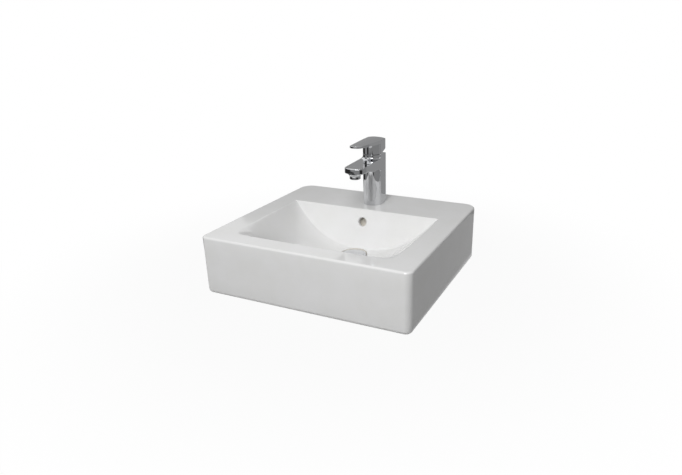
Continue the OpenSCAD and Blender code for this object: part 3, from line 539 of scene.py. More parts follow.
def section(x):
    """One front-to-back section of the bowl: (y, z) points from the front rim to the deck behind."""
    steps = np.arange(front_rows, 0, -1)
    ys = np.concatenate([drain_y - bowl_reach * np.sin(np.pi / 2 * steps / front_rows),
                         np.linspace(drain_y, bowl_back_y, trial_rows)])
    zs = bowl_height(x, ys)
    gap = (wall_y(zs) - ys) * math.cos(lean)
    crossing = np.argmax(gap <= 0) if (gap <= 0).any() else len(ys) - 1
    tall = basin_h - zs[crossing]
    r, edge = min(foot_round, foot_share * tall), min(wall_edge_r, edge_share * tall)
    # The foot's round touches the floor and the wall: its centre is r away from both.
    slope = np.gradient(zs, ys)
    length = np.sqrt(1 + slope ** 2)
    cy, cz = ys - slope / length * r, zs + r / length
    reach = (wall_y(cz) - cy) * math.cos(lean) - r
    inside = np.where(reach[:crossing + 1] > 0)[0]
    k = inside[-1] if len(inside) else crossing
    if k >= front_rows:
        floor_ys = np.concatenate([ys[:front_rows], np.linspace(drain_y, ys[k], rear_rows)])
    else:
        floor_ys = np.linspace(ys[0], ys[k], front_rows + rear_rows)
    floor_zs = np.interp(floor_ys, ys, zs)
    start = math.atan2(zs[k] - cz[k], ys[k] - cy[k])
    foot = [(cy[k] + r * math.cos(a), cz[k] + r * math.sin(a))
            for a in np.linspace(start, -lean, foot_rows + 1)[1:]]
    low_y, low_z = foot[-1]
    top_run = edge * math.tan((math.pi / 2 - lean) / 2)
    top_y, top_z = bowl_back_y - top_run * math.sin(lean), basin_h - top_run * math.cos(lean)
    wall = [(low_y + (top_y - low_y) * t, low_z + (top_z - low_z) * t)
            for t in np.linspace(0, 1, wall_rows + 1)[1:]]
    crown = [(bowl_back_y + top_run + edge * math.cos(a), basin_h - edge + edge * math.sin(a))
             for a in np.linspace(math.pi - lean, math.pi / 2, foot_rows + 1)[1:]]
    return list(zip(floor_ys, floor_zs)) + foot + wall + crown


def section_at(x):
    """The section at x, on either side. At the bowl's edge it is taken a hair further in."""
    return section(min(abs(x), bowl_half_w - 1e-6))


columns = [bowl_half_w * math.sin(math.pi / 2 * i / half_columns)
           for i in range(-half_columns, half_columns + 1)]
sections = [section_at(x) for x in columns]
lowest = min(z for s in sections for _, z in s)
print("bowl grid", len(columns), "by", len(sections[0]), "lowest", round(lowest, 1))

# %% [markdown]
# The outside is a rounded rectangle that shrinks as it goes round the top and bottom edges. A bevelled box
# could give it, but the front corners, the back corners, the top edge and the foot each have a radius of
# their own. It is drawn as a stack of loops with quads between them, and the same helper joins the loops of
# every round hole further on.

# %% Outer walls
def outline(inset, steps=14):
    loop = []
    for side, end, r, start in ((1, 1, back_corner_r, 0), (-1, 1, back_corner_r, 90),
                                (-1, -1, front_corner_r, 180), (1, -1, front_corner_r, 270)):
        middle_x, middle_y = side * (basin_w / 2 - r), end * (basin_d / 2 - r)
        loop += arc(middle_x, middle_y, r - inset, start, start + 90, steps)
    return loop


def quarter(steps):
    return np.linspace(0, math.pi / 2, steps + 1)[1:]


skin = bmesh.new()


def add_points(points):
    return [skin.verts.new([c * MM for c in p]) for p in points]


def add_faces(verts, faces):
    for face in faces:
        skin.faces.new([verts[i] for i in face])


def add_bands(loops):
    for low, high in zip(loops, loops[1:]):
        n = len(low)
        for k in range(n):
            skin.faces.new([low[k], low[(k + 1) % n], high[(k + 1) % n], high[k]])


wall_heights = (40, 70, 100, basin_h - top_edge_r)
rings = [(skirt_t, 0), (foot_edge_r, 0)]
rings += [(foot_edge_r - foot_edge_r * math.sin(a), foot_edge_r - foot_edge_r * math.cos(a))
          for a in quarter(8)]
rings += [(0, z) for z in wall_heights]
rings += [(top_edge_r - top_edge_r * math.cos(a), basin_h - top_edge_r + top_edge_r * math.sin(a))
          for a in quarter(8)]
shell = [add_points([(x, y, z) for x, y in outline(inset)]) for inset, z in rings]
add_bands(shell)
print("outer walls", len(skin.faces), "faces")

# %% [markdown]
# The waste and the overflow need round holes in the bowl's grid. A boolean could cut them, but its slivers
# would show as kinks in the shiny glaze. The quads near each hole are left out. What remains is a stepped
# gap, which a later cell fills up to a true circle.

# %% Bowl surface
waste_recess_r, overflow_r, tap_hole_r, hole_margin, overflow_drop = 33.5, 11, 17.5, 2.5, 31
overflow_y, overflow_z = bowl_back_y - overflow_drop * math.tan(lean), basin_h - overflow_drop
grid = [[(x, y, z) for y, z in s] for x, s in zip(columns, sections)]
nx, ny = len(grid), len(grid[0])


def near_drain(p):
    return math.hypot(p[0], p[1] - drain_y) < waste_recess_r + hole_margin


def near_overflow(p, wall_slack=0.05):
    along = (p[2] - overflow_z) / math.cos(lean)
    on_back = abs(wall_y(p[2]) - p[1]) < wall_slack
    return on_back and math.hypot(p[0], along) < overflow_r + hole_margin


grid_verts = [add_points(column) for column in grid]
drain_cells, overflow_cells = set(), set()
for i in range(nx - 1):
    for j in range(ny - 1):
        corners = [(i, j), (i + 1, j), (i + 1, j + 1), (i, j + 1)]
        places = [grid[a][b] for a, b in corners]
        if any(near_drain(p) for p in places):
            drain_cells.add((i, j))
        elif any(near_overflow(p) for p in places):
            overflow_cells.add((i, j))
        else:
            skin.faces.new([grid_verts[a][b] for a, b in corners])
print("left out for the waste", len(drain_cells), "and for the overflow", len(overflow_cells))

# %% [markdown]
# To fill a gap, the border of the missing cells is laid flat with the circle inside it, and a constrained
# triangulation joins the two. Each new point is then put back at its height on the bowl.

# %% Helpers for round holes
def inside_loop(p, loop):
    crossings = 0
    for (ax, ay), (bx, by) in zip(loop, loop[1:] + loop[:1]):
        if (ay > p[1]) != (by > p[1]) and p[0] < (bx - ax) * (p[1] - ay) / (by - ay) + ax:
            crossings += 1
    return crossings % 2 == 1


def fill_between(outer, holes, keep, loose=()):
    """Flat triangles between an outer loop and holes. keep says which triangle middles stay, and the loose
    points inside make the triangles even."""
    points, edges = [], []
    for loop in [outer, *holes]:
        start, n = len(points), len(loop)
        points += [Vector(p) for p in loop]
        edges += [(start + i, start + (i + 1) % n) for i in range(n)]
    points += [Vector(p) for p in loose]
    made, _, faces, *_ = delaunay_2d_cdt(points, edges, [], 0, 1e-6)
    kept = [f for f in faces if keep(sum((made[i] for i in f), Vector((0, 0))) / len(f))]
    return [tuple(p) for p in made], kept


def border(cells):
    """The loop of grid corners round a patch of cells."""
    links = {}
    for i, j in cells:
        for a, b, other in (((i, j), (i + 1, j), (i, j - 1)), ((i + 1, j), (i + 1, j + 1), (i + 1, j)),
                            ((i + 1, j + 1), (i, j + 1), (i, j + 1)), ((i, j + 1), (i, j), (i - 1, j))):
            if other not in cells:
                links[a] = b
    start = next(iter(links))
    loop, here = [start], links[start]
    while here != start:
        loop.append(here)
        here = links[here]
    return loop


def fit_hole(cells, flat, ring, rise):
    """Fills a patch up to a ring. flat lays a grid point on the plane, and rise puts a plane point back."""
    loop = border(cells)
    outer = [flat(grid[a][b]) for a, b in loop]
    points, faces = fill_between(outer, [ring], lambda p: inside_loop(p, outer) and not inside_loop(p, ring))
    verts = [grid_verts[a][b] for a, b in loop] + add_points([rise(p) for p in points[len(loop):]])
    add_faces(verts, faces)
    return verts[len(loop):len(loop) + len(ring)]


sides = 96
turns = [2 * math.pi * k / sides for k in range(sides)]


def circle(r, middle_y=0):
    return [(r * math.cos(a), middle_y + r * math.sin(a)) for a in turns]


print("hole helpers ready")

# %% [markdown]
# The waste sits in a shallow recess with a softly broken edge, because glaze draws back from a sharp one.
# The recess ends in a level seat, and the hole in the seat takes the tube of the waste.

# %% Recess for the waste
waste_edge_r, waste_hole_r, recess_drop = 1.0, 23, 2.5
seat_z = basin_h - bowl_depth - recess_drop


def bowl_place(p):
    s = section_at(p[0])
    return (p[0], p[1], float(np.interp(p[1], [y for y, _ in s], [z for _, z in s])))


rim_circle = circle(waste_recess_r + waste_edge_r, drain_y)
drain_rim = fit_hole(drain_cells, lambda p: (p[0], p[1]), rim_circle, bowl_place)
recess = [drain_rim]
for a in quarter(5):
    inset, drop = waste_edge_r * (1 - math.sin(a)), waste_edge_r * (1 - math.cos(a))
    edge = circle(waste_recess_r + inset, drain_y)
    recess.append(add_points([(x, y, above.co.z / MM - drop) for (x, y), above in zip(edge, drain_rim)]))
for r in (waste_recess_r, waste_hole_r):
    recess.append(add_points([(x, y, seat_z) for x, y in circle(r, drain_y)]))
add_bands(recess)
print("seat of the waste", seat_z, "mm up")

# %% [markdown]
# The overflow is a plain round hole in the leaning back wall. Its edge is rounder than the recess's, and
# its throat goes straight into the wall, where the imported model's duct takes over.

# %% Overflow
overflow_edge_r, overflow_throat = 1.6, 12


def on_wall(x, along, depth):
    return (x, overflow_y + along * math.sin(lean) + depth * math.cos(lean),
            overflow_z + along * math.cos(lean) - depth * math.sin(lean))


overflow_rim = fit_hole(overflow_cells, lambda p: (p[0], (p[2] - overflow_z) / math.cos(lean)),
                        circle(overflow_r + overflow_edge_r), lambda p: on_wall(p[0], p[1], 0))
throat = [overflow_rim]
for a in quarter(5):
    r, depth = overflow_r + overflow_edge_r * (1 - math.sin(a)), overflow_edge_r * (1 - math.cos(a))
    throat.append(add_points([on_wall(x, along, depth) for x, along in circle(r)]))
throat.append(add_points([on_wall(x, along, overflow_throat) for x, along in circle(overflow_r)]))
add_bands(throat)
print("overflow", overflow_z, "mm up")

# %% [markdown]
# The deck between the outer walls and the bowl is flat, so it is simply filled, with a round hole for the
# tap. A lattice of loose points keeps the triangles even, away from the edges.

# %% Deck
lattice_pitch, lattice_gap = 10, 4
deck_outer = [(v.co.x / MM, v.co.y / MM) for v in shell[-1]]
bowl_loop = [(i, 0) for i in range(nx)] + [(nx - 1, j) for j in range(1, ny)]
bowl_loop += [(i, ny - 1) for i in range(nx - 2, -1, -1)] + [(0, j) for j in range(ny - 2, 0, -1)]
bowl_edge = [grid[a][b][:2] for a, b in bowl_loop]
tap_ring = circle(tap_hole_r, tap_y)
edge_points = np.array(deck_outer + bowl_edge + tap_ring)


def on_deck(p):
    return inside_loop(p, deck_outer) and not inside_loop(p, bowl_edge) and not inside_loop(p, tap_ring)


lattice_xs = range(lattice_pitch - basin_w // 2, basin_w // 2, lattice_pitch)
lattice_ys = range(lattice_pitch - basin_d // 2, basin_d // 2, lattice_pitch)
lattice = [(x, y) for x in lattice_xs for y in lattice_ys]
lattice = [p for p in lattice if np.hypot(*(edge_points - p).T).min() > lattice_gap and on_deck(p)]
deck_points, deck_faces = fill_between(deck_outer, [bowl_edge, tap_ring], on_deck, lattice)
add_faces(add_points([(x, y, basin_h) for x, y in deck_points]), deck_faces)
bmesh.ops.remove_doubles(skin, verts=skin.verts, dist=0.002 * MM)
bmesh.ops.recalc_face_normals(skin, faces=skin.faces)
print("skin", len(skin.verts), "points", len(skin.faces), "faces")

# %% [markdown]
# The underside is hidden on a worktop, but it is there: the skirt's inner wall, the back of the bowl, the
# boss round the waste and the duct that leads the overflow down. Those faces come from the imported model.
# They could be drawn again, but nobody sees them closely enough to need softer edges. Starting on the deck,
# a flood over its faces finds the visible outside, which the new skin stands for, and the rest is kept. The
# faces inside the holes and the skirt's inner wall stop the flood, and of those only the overflow's are
# dropped too.

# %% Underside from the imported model
hidden = bmesh.new()
hidden.from_mesh(frame["nodes"]["basin"].data)
bmesh.ops.remove_doubles(hidden, verts=hidden.verts, dist=0.001 * MM)
hidden.faces.ensure_lookup_table()
slack, overflow_end, level_limit, across_limit = 0.1, 21, 0.05, 0.3
into_wall = Vector((0, math.cos(lean), -math.sin(lean)))


def kind_of(face):
    x, y, z = (c / MM for c in face.calc_center_median())
    upright = abs(face.normal.z) < level_limit
    along = ((y - overflow_y) * math.sin(lean) + (z - overflow_z) * math.cos(lean))
    depth = (y - overflow_y) * math.cos(lean) - (z - overflow_z) * math.sin(lean)
    from_side = max(abs(x) - basin_w / 2, abs(y) - basin_d / 2)
    if upright and math.hypot(x, y - tap_y) < tap_hole_r + slack:
        return "tap hole"
    if upright and math.hypot(x, y - drain_y) < waste_hole_r + slack:
        return "waste hole"
    if (math.hypot(x, along) < overflow_r + slack and 0 < depth < overflow_end
            and abs(face.normal.dot(into_wall)) < across_limit):
        return "overflow"
    if upright and 0.01 < z < basin_h - deck_t + slack and from_side < -skirt_t + slack / 2:
        return "inner wall"
    return "plain"


kinds = [kind_of(face) for face in hidden.faces]
seed = next(f for f in hidden.faces if all(abs(v.co.z / MM - basin_h) < 0.01 for v in f.verts))
outside, queue = {seed.index}, [seed]
while queue:
    face = queue.pop()
    for edge in face.edges:
        for other in edge.link_faces:
            if other.index not in outside and kinds[other.index] == "plain":
                outside.add(other.index)
                queue.append(other)
dropped = [f for f in hidden.faces if f.index in outside or kinds[f.index] == "overflow"]
print("underside keeps", len(hidden.faces) - len(dropped), "faces, flood removed", len(outside))
bmesh.ops.delete(hidden, geom=dropped, context="FACES")

# %% [markdown]
# The two halves are now joined into one casting: glaze on the skin, bare clay on the underside and on the
# ring that stands on the worktop. The deck's points get normals that stand straight up, so that it reflects
# as one flat sheet.

# %% Basin casting
for face in hidden.faces:
    face.material_index = 1
for face in skin.faces:
    face.material_index = 1 if all(v.co.z < 0.001 * MM for v in face.verts) else 0
under_mesh = bpy.data.meshes.new("basin_underside")
hidden.to_mesh(under_mesh)
skin.from_mesh(under_mesh)
bpy.data.meshes.remove(under_mesh)
bmesh.ops.remove_doubles(skin, verts=skin.verts, dist=0.002 * MM)
basin_mesh = bpy.data.meshes.new("basin_casting")
skin.to_mesh(basin_mesh)
basin = bpy.data.objects.new("basin_casting", basin_mesh)
bpy.context.scene.collection.objects.link(basin)
basin.data.materials.append(glaze)
basin.data.materials.append(clay)
smooth(basin, 38)

corner_vertex = np.array([loop.vertex_index for loop in basin_mesh.loops])
vertex_z = np.array([v.co.z for v in basin_mesh.vertices]) / MM
corner_up = np.repeat([f.normal.z for f in basin_mesh.polygons], [f.loop_total for f in basin_mesh.polygons])
corner_normals = np.array([n.vector[:] for n in basin_mesh.corner_normals])
on_top = abs(vertex_z[corner_vertex] - basin_h) < 0.001
facing_up = corner_up > 0.75
corner_normals[on_top & facing_up] = (0, 0, 1)
basin_mesh.normals_split_custom_set(corner_normals.tolist())
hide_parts("basin")
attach(basin, "fixed")
print("basin", len(basin.data.polygons), "faces")

# %% [markdown]
# ## The tap
# The body is cast brass. Seen from the side it is a bar that runs up the back and turns forward as the
# spout; seen from above it is a slot shape whose end is a flat arc between two rounder corners. It could be
# shaped by hand under a subdivision modifier, but then its sizes would drift. So both views are drawn as
# outlines first, and the casting is what the two shapes share.

# %% Outlines of the tap body
tap_place = (0, tap_y, basin_h)
column_r, column_h, deck_gap, tap_back, flank_x, flank_lead, tap_edge_r = 24, 128.5, 0.4, 27, 24.6, 5, 1.5
spout_reach, spout_top, spout_under, tip_top, tip_under = 99, 118, 93.5, 115.5, 102
outlet_h, cone_r, cone_top_r, spout_corner_r, spout_fillet_r = 96.5, 14, 17, 9, 6
tip_corner_r, tip_front_r, lever_edge_r = 12, 38, 4
tip_y = -spout_reach - cone_top_r - 0.5

past_tip, back_y, back_z = tip_y - 1, tap_back - lever_edge_r, column_h - lever_edge_r
under_y, under_z = -flank_lead - spout_corner_r, spout_under - spout_corner_r
under_turn_y = -0.47 * spout_reach
side_view = [(tap_back, deck_gap), *arc(back_y, back_z, lever_edge_r, 0, 90, 10), (-flank_lead, column_h),
             (-flank_lead, spout_top), (past_tip, tip_top), (past_tip, tip_under), (tip_y, tip_under),
             (flank_x - spout_reach, tip_under - 1), (under_turn_y, spout_under + 1),
             *arc(under_y, under_z, spout_corner_r, 90, 0, 14), (-flank_lead, deck_gap)]

corner_x, spread = flank_x - tip_corner_r, tip_front_r - tip_corner_r
corner_y = tip_y + tip_front_r - math.sqrt(spread ** 2 - corner_x ** 2)
meet = math.degrees(math.asin(corner_x / spread))
edge_x, edge_y = flank_x - tap_edge_r, tap_back - tap_edge_r
plan_view = [*arc(-corner_x, corner_y, tip_corner_r, 180, 270 - meet, 20),
             *arc(0, tip_y + tip_front_r, tip_front_r, 270 - meet, 270 + meet, 32)[1:-1],
             *arc(corner_x, corner_y, tip_corner_r, 270 + meet, 360, 20),
             *arc(edge_x, edge_y, tap_edge_r, 0, 90, 6), *arc(-edge_x, edge_y, tap_edge_r, 90, 180, 6)]
print("tap body outlines", len(side_view), "and", len(plan_view), "points")

# %% [markdown]
# A round column fills the front of the bar, with a hollow fillet where the column stands on the spout, and
# a cone under the spout's end carries the aerator. The bores are then cut: the chamber of the cartridge,
# the outlet, the two inlets, the hole of the stud and the groove of the base seal. Every edge is polished
# round: most by about half a millimetre, and the spout's end by four times as much.

# %% Tap body
spigot_r, spigot_h, chamber_r, chamber_z, outlet_r, outlet_depth = 16.5, 4, 18.2, 93.15, 11, 8
inlet_r, inlet_x, inlet_y, inlet_top, stud_hole_r, stud_y, stud_top = 4.5, 7, -8, 14, 4.05, 9, 12.4
groove_in_r, groove_out_r, groove_top = 17.9, 21.1, 2
below, above, half_span, overlap, fillet_in_r, fillet_sink = -5, 140, 30, 5, 20, 0.5
spout_edge_r = 2.2


def placed(made):
    made.data.transform(Matrix.Translation([c * MM for c in tap_place]))
    return made


def cylinder(name, r, low, high, x=0, y=0, steps=96):
    return turned(name, [(0, low), (r, low), (r, high), (0, high)], (x, y, 0), steps)


body = prism("tap_body_chrome", side_view, "x", -half_span, half_span)
combine(body, prism("plan", plan_view, "z", below, above), "INTERSECT")
half_round = [*arc(0, 0, column_r, 180, 360, 64), (column_r, overlap), (-column_r, overlap)]
combine(body, prism("column", half_round, "z", deck_gap, column_h), "UNION")

sunk_top, fillet_out_r = spout_top - fillet_sink, column_r + spout_fillet_r
fillet_profile = [(fillet_in_r, sunk_top - 2), (fillet_out_r, sunk_top - 2),
                  *arc(fillet_out_r, sunk_top + spout_fillet_r, spout_fillet_r, 270, 180, 10),
                  (fillet_in_r, sunk_top + spout_fillet_r)]
fillet = turned("fillet", fillet_profile, (0, 0, 0), 192)
ahead_half = [(-flank_x, -60), (flank_x, -60), (flank_x, 0), (-flank_x, 0)]
combine(fillet, prism("ahead_half", ahead_half, "z", tip_under - 2, above), "INTERSECT")
combine(body, fillet, "UNION")
cone_profile = [(0, outlet_h), (cone_r, outlet_h), (cone_top_r, tip_under + 0.1), (cone_top_r, tip_under + 2),
                (0, tip_under + 2)]
combine(body, turned("cone", cone_profile, (0, -spout_reach, 0)), "UNION")
combine(body, cylinder("spigot", spigot_r, -spigot_h, spigot_h), "UNION")

for name, r, low, high, x, y, steps in (
        ("chamber", chamber_r, chamber_z, above, 0, 0, 96),
        ("outlet", outlet_r, outlet_h - 1, outlet_h + outlet_depth, 0, -spout_reach, 96),
        ("inlet_left", inlet_r, below, inlet_top, -inlet_x, inlet_y, 48),
        ("inlet_right", inlet_r, below, inlet_top, inlet_x, inlet_y, 48),
        ("stud_hole", stud_hole_r, below, stud_top, 0, stud_y, 48)):
    combine(body, cylinder(name, r, low, high, x, y, steps), "DIFFERENCE")
groove_profile = [(groove_in_r, -1), (groove_out_r, -1), (groove_out_r, groove_top),
                  (groove_in_r, groove_top), (groove_in_r, -1)]
combine(body, turned("seal_groove", groove_profile, (0, 0, 0)), "DIFFERENCE")


def body_share(x, y, z, least=0.28, tip_start=-70, tip_run=35):
    if y < tip_start and tip_under - 2 < z < tip_top + 3:
        return least + (1 - least) * min(1, max(0, (tip_start - y) / tip_run))
    return least


rounded(body, spout_edge_r, body_share)
placed(body)
body.data.materials.clear()
body.data.materials.append(chrome)
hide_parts("tap_body")
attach(body, "fixed")
print("tap body", len(body.data.polygons), "faces")

# %% [markdown]
# ## The lever
# The lever follows the same rule as the body. Its plan tapers to a round end, its side view is a thin
# tongue that thickens to a hub, and a third shape gives it a slightly crowned top. The three are drawn
# first.

# %% Outlines of the lever
lever_low, lever_top, hub_top = 129.7, 165.7, 155.2
lever_reach, lever_tip_r, lever_tip_t, lever_crown = 89, 15.5, 4.5, 2.8
taper = math.asin((flank_x - lever_tip_r) / lever_reach)
lever_front, raised = -lever_reach - lever_tip_r - 1, lever_top + 1
lever_side = [(tap_back, lever_low), *arc(back_y, raised - lever_edge_r, lever_edge_r, 0, 90, 10),
              (lever_front, raised), (lever_front, lever_top - lever_tip_t), (-column_r, hub_top),
              (-flank_lead, hub_top), (-flank_lead, lever_low)]
taper_deg, shoulder_x, shoulder_y = math.degrees(taper), flank_x * math.cos(taper), -flank_x * math.sin(taper)
lever_plan = [*arc(0, -lever_reach, lever_tip_r, 180 + taper_deg, 360 - taper_deg, 48),
              (shoulder_x, shoulder_y), (flank_x, 0),
              *arc(flank_x - lever_edge_r, back_y, lever_edge_r, 0, 90, 8),
              *arc(lever_edge_r - flank_x, back_y, lever_edge_r, 90, 180, 8),
              (-flank_x, 0), (-shoulder_x, shoulder_y)]
lever_crown_r = (flank_x ** 2 + lever_crown ** 2) / (2 * lever_crown)
crown_line = [(x, lever_top - lever_crown_r + math.sqrt(lever_crown_r ** 2 - x ** 2))
              for x in np.linspace(half_span, -half_span, 41)]
lever_section = [(half_span, lever_low - 1), *crown_line, (-half_span, lever_low - 1)]
print("lever taper", round(taper_deg, 1), "degrees, crown radius", round(lever_crown_r, 1))

# %% [markdown]
# The hub is hollow and clears the dome. A boss inside it has a rectangular socket for the stem, and a screw
# hole comes in from the back. The hub's back is cut away under 20 degrees, so that the lever can tip up.

# %% Lever
pivot_h, dome_r, hub_hollow_r, boss_r, lift_clearance = 122.5, 20, 21.5, 8, 20
stem_half_x, stem_half_y, socket_top = 3.1, 3.6, lever_top - 5
screw_hole_r, plug_hole_r, plug_len, screw_z = 2.55, 3.4, 5, 160
boss_low, lever_polish_r = pivot_h + dome_r, 0.6
over_lever, past_front, past_back, wedge_len, wedge_half = 170, -120, 40, 80, 60

lever = prism("lever_handle_chrome", lever_side, "x", -half_span, half_span)
combine(lever, prism("lever_plan", lever_plan, "z", lever_low - 1, over_lever), "INTERSECT")
combine(lever, prism("lever_crown", lever_section, "y", past_front, past_back), "INTERSECT")
combine(lever, cylinder("hub", column_r, lever_low, hub_top + 1), "UNION")
combine(lever, cylinder("hub_hollow", hub_hollow_r, lever_low - 1, hub_top), "DIFFERENCE")
combine(lever, cylinder("boss", boss_r, boss_low, hub_top + 1, steps=48), "UNION")
stem = [(x * stem_half_x, y * stem_half_y) for x, y in ((-1, -1), (1, -1), (1, 1), (-1, 1))]
combine(lever, prism("socket", stem, "z", boss_low - 1.5, socket_top), "DIFFERENCE")
wedge_rise = wedge_len * math.tan(math.radians(lift_clearance))
wedge = prism("wedge", [(0, 0), (wedge_len, 0), (wedge_len, wedge_rise)], "x", -wedge_half, wedge_half)
wedge.data.transform(Matrix.Translation((0, 0, lever_low * MM)))
combine(lever, wedge, "DIFFERENCE")
for name, r, start in (("screw_hole", screw_hole_r, 0), ("plug_hole", plug_hole_r, tap_back - plug_len)):
    hole = cylinder(name, r, start, tap_back + 3, steps=48)
    hole.data.transform(Matrix.Translation((0, 0, screw_z * MM)) @ Matrix.Rotation(math.radians(-90), 4, "X"))
    combine(lever, hole, "DIFFERENCE")
rounded(lever, lever_polish_r, lambda x, y, z: 1.0)
placed(lever)
lever.data.materials.clear()
lever.data.materials.append(chrome)
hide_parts("lever_handle")
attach(lever, "tilt")
print("lever", len(lever.data.polygons), "faces")

# %% [markdown]
# ## Turned trim
# The dome under the lever, the aerator's ring and the plug's cap are turned on a lathe, so they are
# profiles spun round an axis. A Screw modifier could spin them too, and the helper from above does the same
# in one line. The edges of the profile are small arcs or short slopes, because a turned edge is always
# broken before it is plated.

# %% Dome cap and aerator ring
def trim(name, profile, centre, node, body_name, steps=128):
    made = smooth(turned(name, profile, centre, steps), 40)
    made.data.materials.append(chrome)
    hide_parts(node)
    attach(made, body_name)
    return made


dome_t, dome_open_r, skirt_in_r, skirt_out_r = 2, 13.2, 16.6, 18.1
skirt_low, skirt_high = pivot_h + 4.6, pivot_h + 6.05
outer_start, outer_end, inner_start, inner_end = 17.6, 47.5, 42.8, 19.7
dome_outer = arc(0, pivot_h, dome_r, outer_start, outer_end, 20)
dome_lip = [(dome_open_r + 0.3, pivot_h + 14.75), (dome_open_r + 0.02, pivot_h + 14.5),
            (dome_open_r, pivot_h + 14), (dome_open_r, pivot_h + 12.4)]
dome_inner = arc(0, pivot_h, dome_r - dome_t, inner_start, inner_end, 12)
dome_skirt = [(skirt_in_r, skirt_high), (skirt_in_r, skirt_low), (skirt_out_r, skirt_low),
              (skirt_out_r, skirt_high), (dome_r - 1, skirt_high + 0.01)]
dome_profile = dome_outer + dome_lip + dome_inner + dome_skirt + dome_outer[:1]
trim("dome_cap_chrome", dome_profile, tap_place, "dome_cap", "fixed")

aerator_r, aerator_h, aerator_edge_r, insert_bore_r, thread_r, thread_len = 13, 8.5, 1.2, 9.1, 10.94, 6
lip_r, ring_break, insert_z = insert_bore_r - 1.1, 0.4, -6
ring_profile = [(lip_r, ring_break - aerator_h), (lip_r + ring_break, -aerator_h),
                *arc(aerator_r - aerator_edge_r, aerator_edge_r - aerator_h, aerator_edge_r, 270, 360, 8),
                (aerator_r, -0.5), (aerator_r - ring_break, -0.02), (thread_r, 0), (thread_r, thread_len),
                (insert_bore_r, thread_len), (insert_bore_r, insert_z), (lip_r, insert_z),
                (lip_r, ring_break - aerator_h)]
outlet_place = (0, tap_y - spout_reach, basin_h + outlet_h)
trim("aerator_ring_chrome", ring_profile, outlet_place, "aerator_housing", "fixed")
print("dome", len(dome_profile), "points, ring", len(ring_profile), "points")

# %% [markdown]
# The cap of the waste is a crowned disc. Under it hang the core that holds the seal, the hollow round the
# barrel and the socket of the plunger. Its crown is a shallow arc, which ends in a small rounded rim.

# %% Plug cap
cap_r, cap_edge_t, cap_crown, cap_break, cap_z = 25, 1.2, 2.6, 0.3, seat_z + 4.3
seal_top, seal_low, collar_low, hollow_z, plunger_z = (cap_z + dz for dz in (-3.5, -5.55, -7, 0.8, 2.25))
seal_fit_r, core_r, collar_r, barrel_clear_r, plunger_fit_r = 19.6, 16.25, 17.35, 9.2, 3.65
cap_crown_r = (cap_r ** 2 + cap_crown ** 2) / (2 * cap_crown)
crown_end = math.degrees(math.asin((cap_r - 0.8) / cap_crown_r))
crown_arc = arc(0, cap_z + cap_edge_t + cap_crown - cap_crown_r, cap_crown_r, 90, 90 - crown_end, 24)
cap_rim = [(cap_r - cap_break, cap_z + 1.15), (cap_r, cap_z + 0.75), (cap_r, cap_z + cap_break),
           (cap_r - cap_break, cap_z)]
cap_under = [(seal_fit_r, cap_z), (seal_fit_r, seal_top), (core_r, seal_top), (core_r, seal_low),
             (collar_r, seal_low), (collar_r, collar_low), (barrel_clear_r, collar_low),
             (barrel_clear_r, hollow_z), (plunger_fit_r, hollow_z), (plunger_fit_r, plunger_z),
             (0, plunger_z)]
cap_profile = [(0, crown_arc[0][1])] + crown_arc[1:] + cap_rim + cap_under
trim("plug_cap_chrome", cap_profile, (0, drain_y, 0), "plug_cap", "plug")
print("plug cap", len(cap_profile), "points")

# %% [markdown]
# ## Threads
# A thread is one sharp ridge that winds round a rod at an even pitch, so it follows a rule and geometry
# nodes make it: a spiral curve carries a four-sided profile, of which one corner points outward. A Screw
# modifier could wind it too, but a tree keeps the pitch and the ridge as named inputs. The waste's pipe
# thread, the 1 1/4 inch size, has 11 turns to the inch, and the clamping stud is M8 with a pitch of 1.25
# mm. Both show below their nuts, where a plumber sees them. The ridge stands a few tenths of a millimetre
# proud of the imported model's plain cylinder.

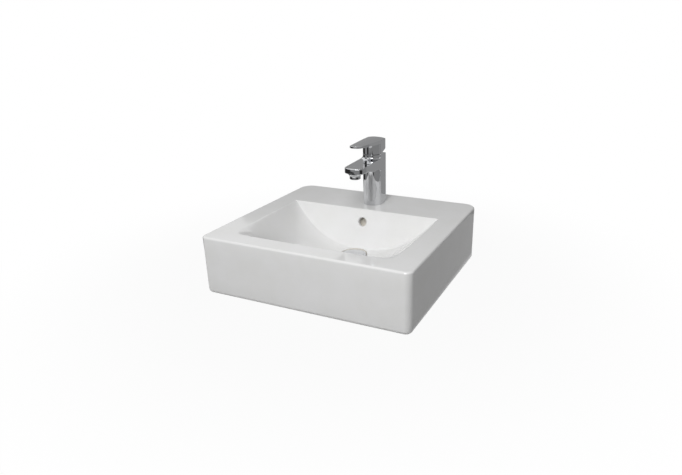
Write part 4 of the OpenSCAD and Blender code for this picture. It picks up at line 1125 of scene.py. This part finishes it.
# %% Threads
def coil_tree():
    tree = bpy.data.node_groups.new("coil", "GeometryNodeTree")
    for label in ("Radius", "Ridge", "Turns", "Height"):
        tree.interface.new_socket(label, in_out="INPUT", socket_type="NodeSocketFloat")
    tree.interface.new_socket("Finish", in_out="INPUT", socket_type="NodeSocketMaterial")
    tree.interface.new_socket("Geometry", in_out="OUTPUT", socket_type="NodeSocketGeometry")
    given = add(tree, "NodeGroupInput").outputs
    winding = {"Resolution": 32, "Rotations": given["Turns"], "Start Radius": given["Radius"],
               "End Radius": given["Radius"], "Height": given["Height"], "Reverse": True}
    spiral = add(tree, "GeometryNodeCurveSpiral", winding)
    upright = add(tree, "GeometryNodeSetCurveNormal", {"Curve": spiral.outputs["Curve"]}, mode="Z_UP")
    profile = add(tree, "GeometryNodeCurvePrimitiveCircle", {"Resolution": 4, "Radius": given["Ridge"]})
    sweep = {"Curve": upright.outputs["Curve"], "Profile Curve": profile.outputs["Curve"], "Fill Caps": True}
    swept = add(tree, "GeometryNodeCurveToMesh", sweep)
    real = add(tree, "GeometryNodeRealizeInstances", {"Geometry": swept.outputs["Mesh"]})
    coat = {"Geometry": real.outputs["Geometry"], "Material": given["Finish"]}
    dressed = add(tree, "GeometryNodeSetMaterial", coat)
    add(tree, "NodeGroupOutput", {"Geometry": dressed.outputs["Geometry"]})
    return tree


coil = coil_tree()
coil_inputs = {item.name: item.identifier for item in coil.interface.items_tree if item.in_out == "INPUT"}


def thread(name, rod, nut, radius, pitch, ridge, proud):
    """Winds a ridge round the free end of a rod, from its lower end up to its nut."""
    (low_x, low_y, low), (high_x, high_y, _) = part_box(rod)
    low, high = low + 0.4 * pitch + ridge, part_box(nut)[0].z - 1.2 * ridge
    slot = next(entry["material_slot"] for entry in frame["record"]["subparts"] if entry["node"] == rod)
    made = mesh_object(name, [], [])
    change = made.modifiers.new("coil", "NODES")
    change.node_group = coil
    given = {"Radius": radius - ridge + proud, "Ridge": ridge, "Turns": (high - low) / pitch,
             "Height": high - low, "Finish": slots[slot]}
    for label, value in given.items():
        change[coil_inputs[label]] = value
    plain_mesh(made)
    made.data.transform(Matrix.Translation(((low_x + high_x) / 2, (low_y + high_y) / 2, low)))
    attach(made, "fixed")
    print(name, "turns", round((high - low) / pitch, 1), "faces", len(made.data.polygons))


thread("waste_thread", "waste_body", "waste_backnut",
       radius=20.955 * MM, pitch=2.309 * MM, ridge=0.9 * MM, proud=0.45 * MM)
thread("stud_thread", "mounting_stud", "clamp_nut",
       radius=4 * MM, pitch=1.25 * MM, ridge=0.5 * MM, proud=0.25 * MM)

# %% [markdown]
# ## Last look
# The size of the dressed model is measured once more and printed.

# %% Finish
low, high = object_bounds()
print("box", [round(v, 4) for v in (*low, *high)])
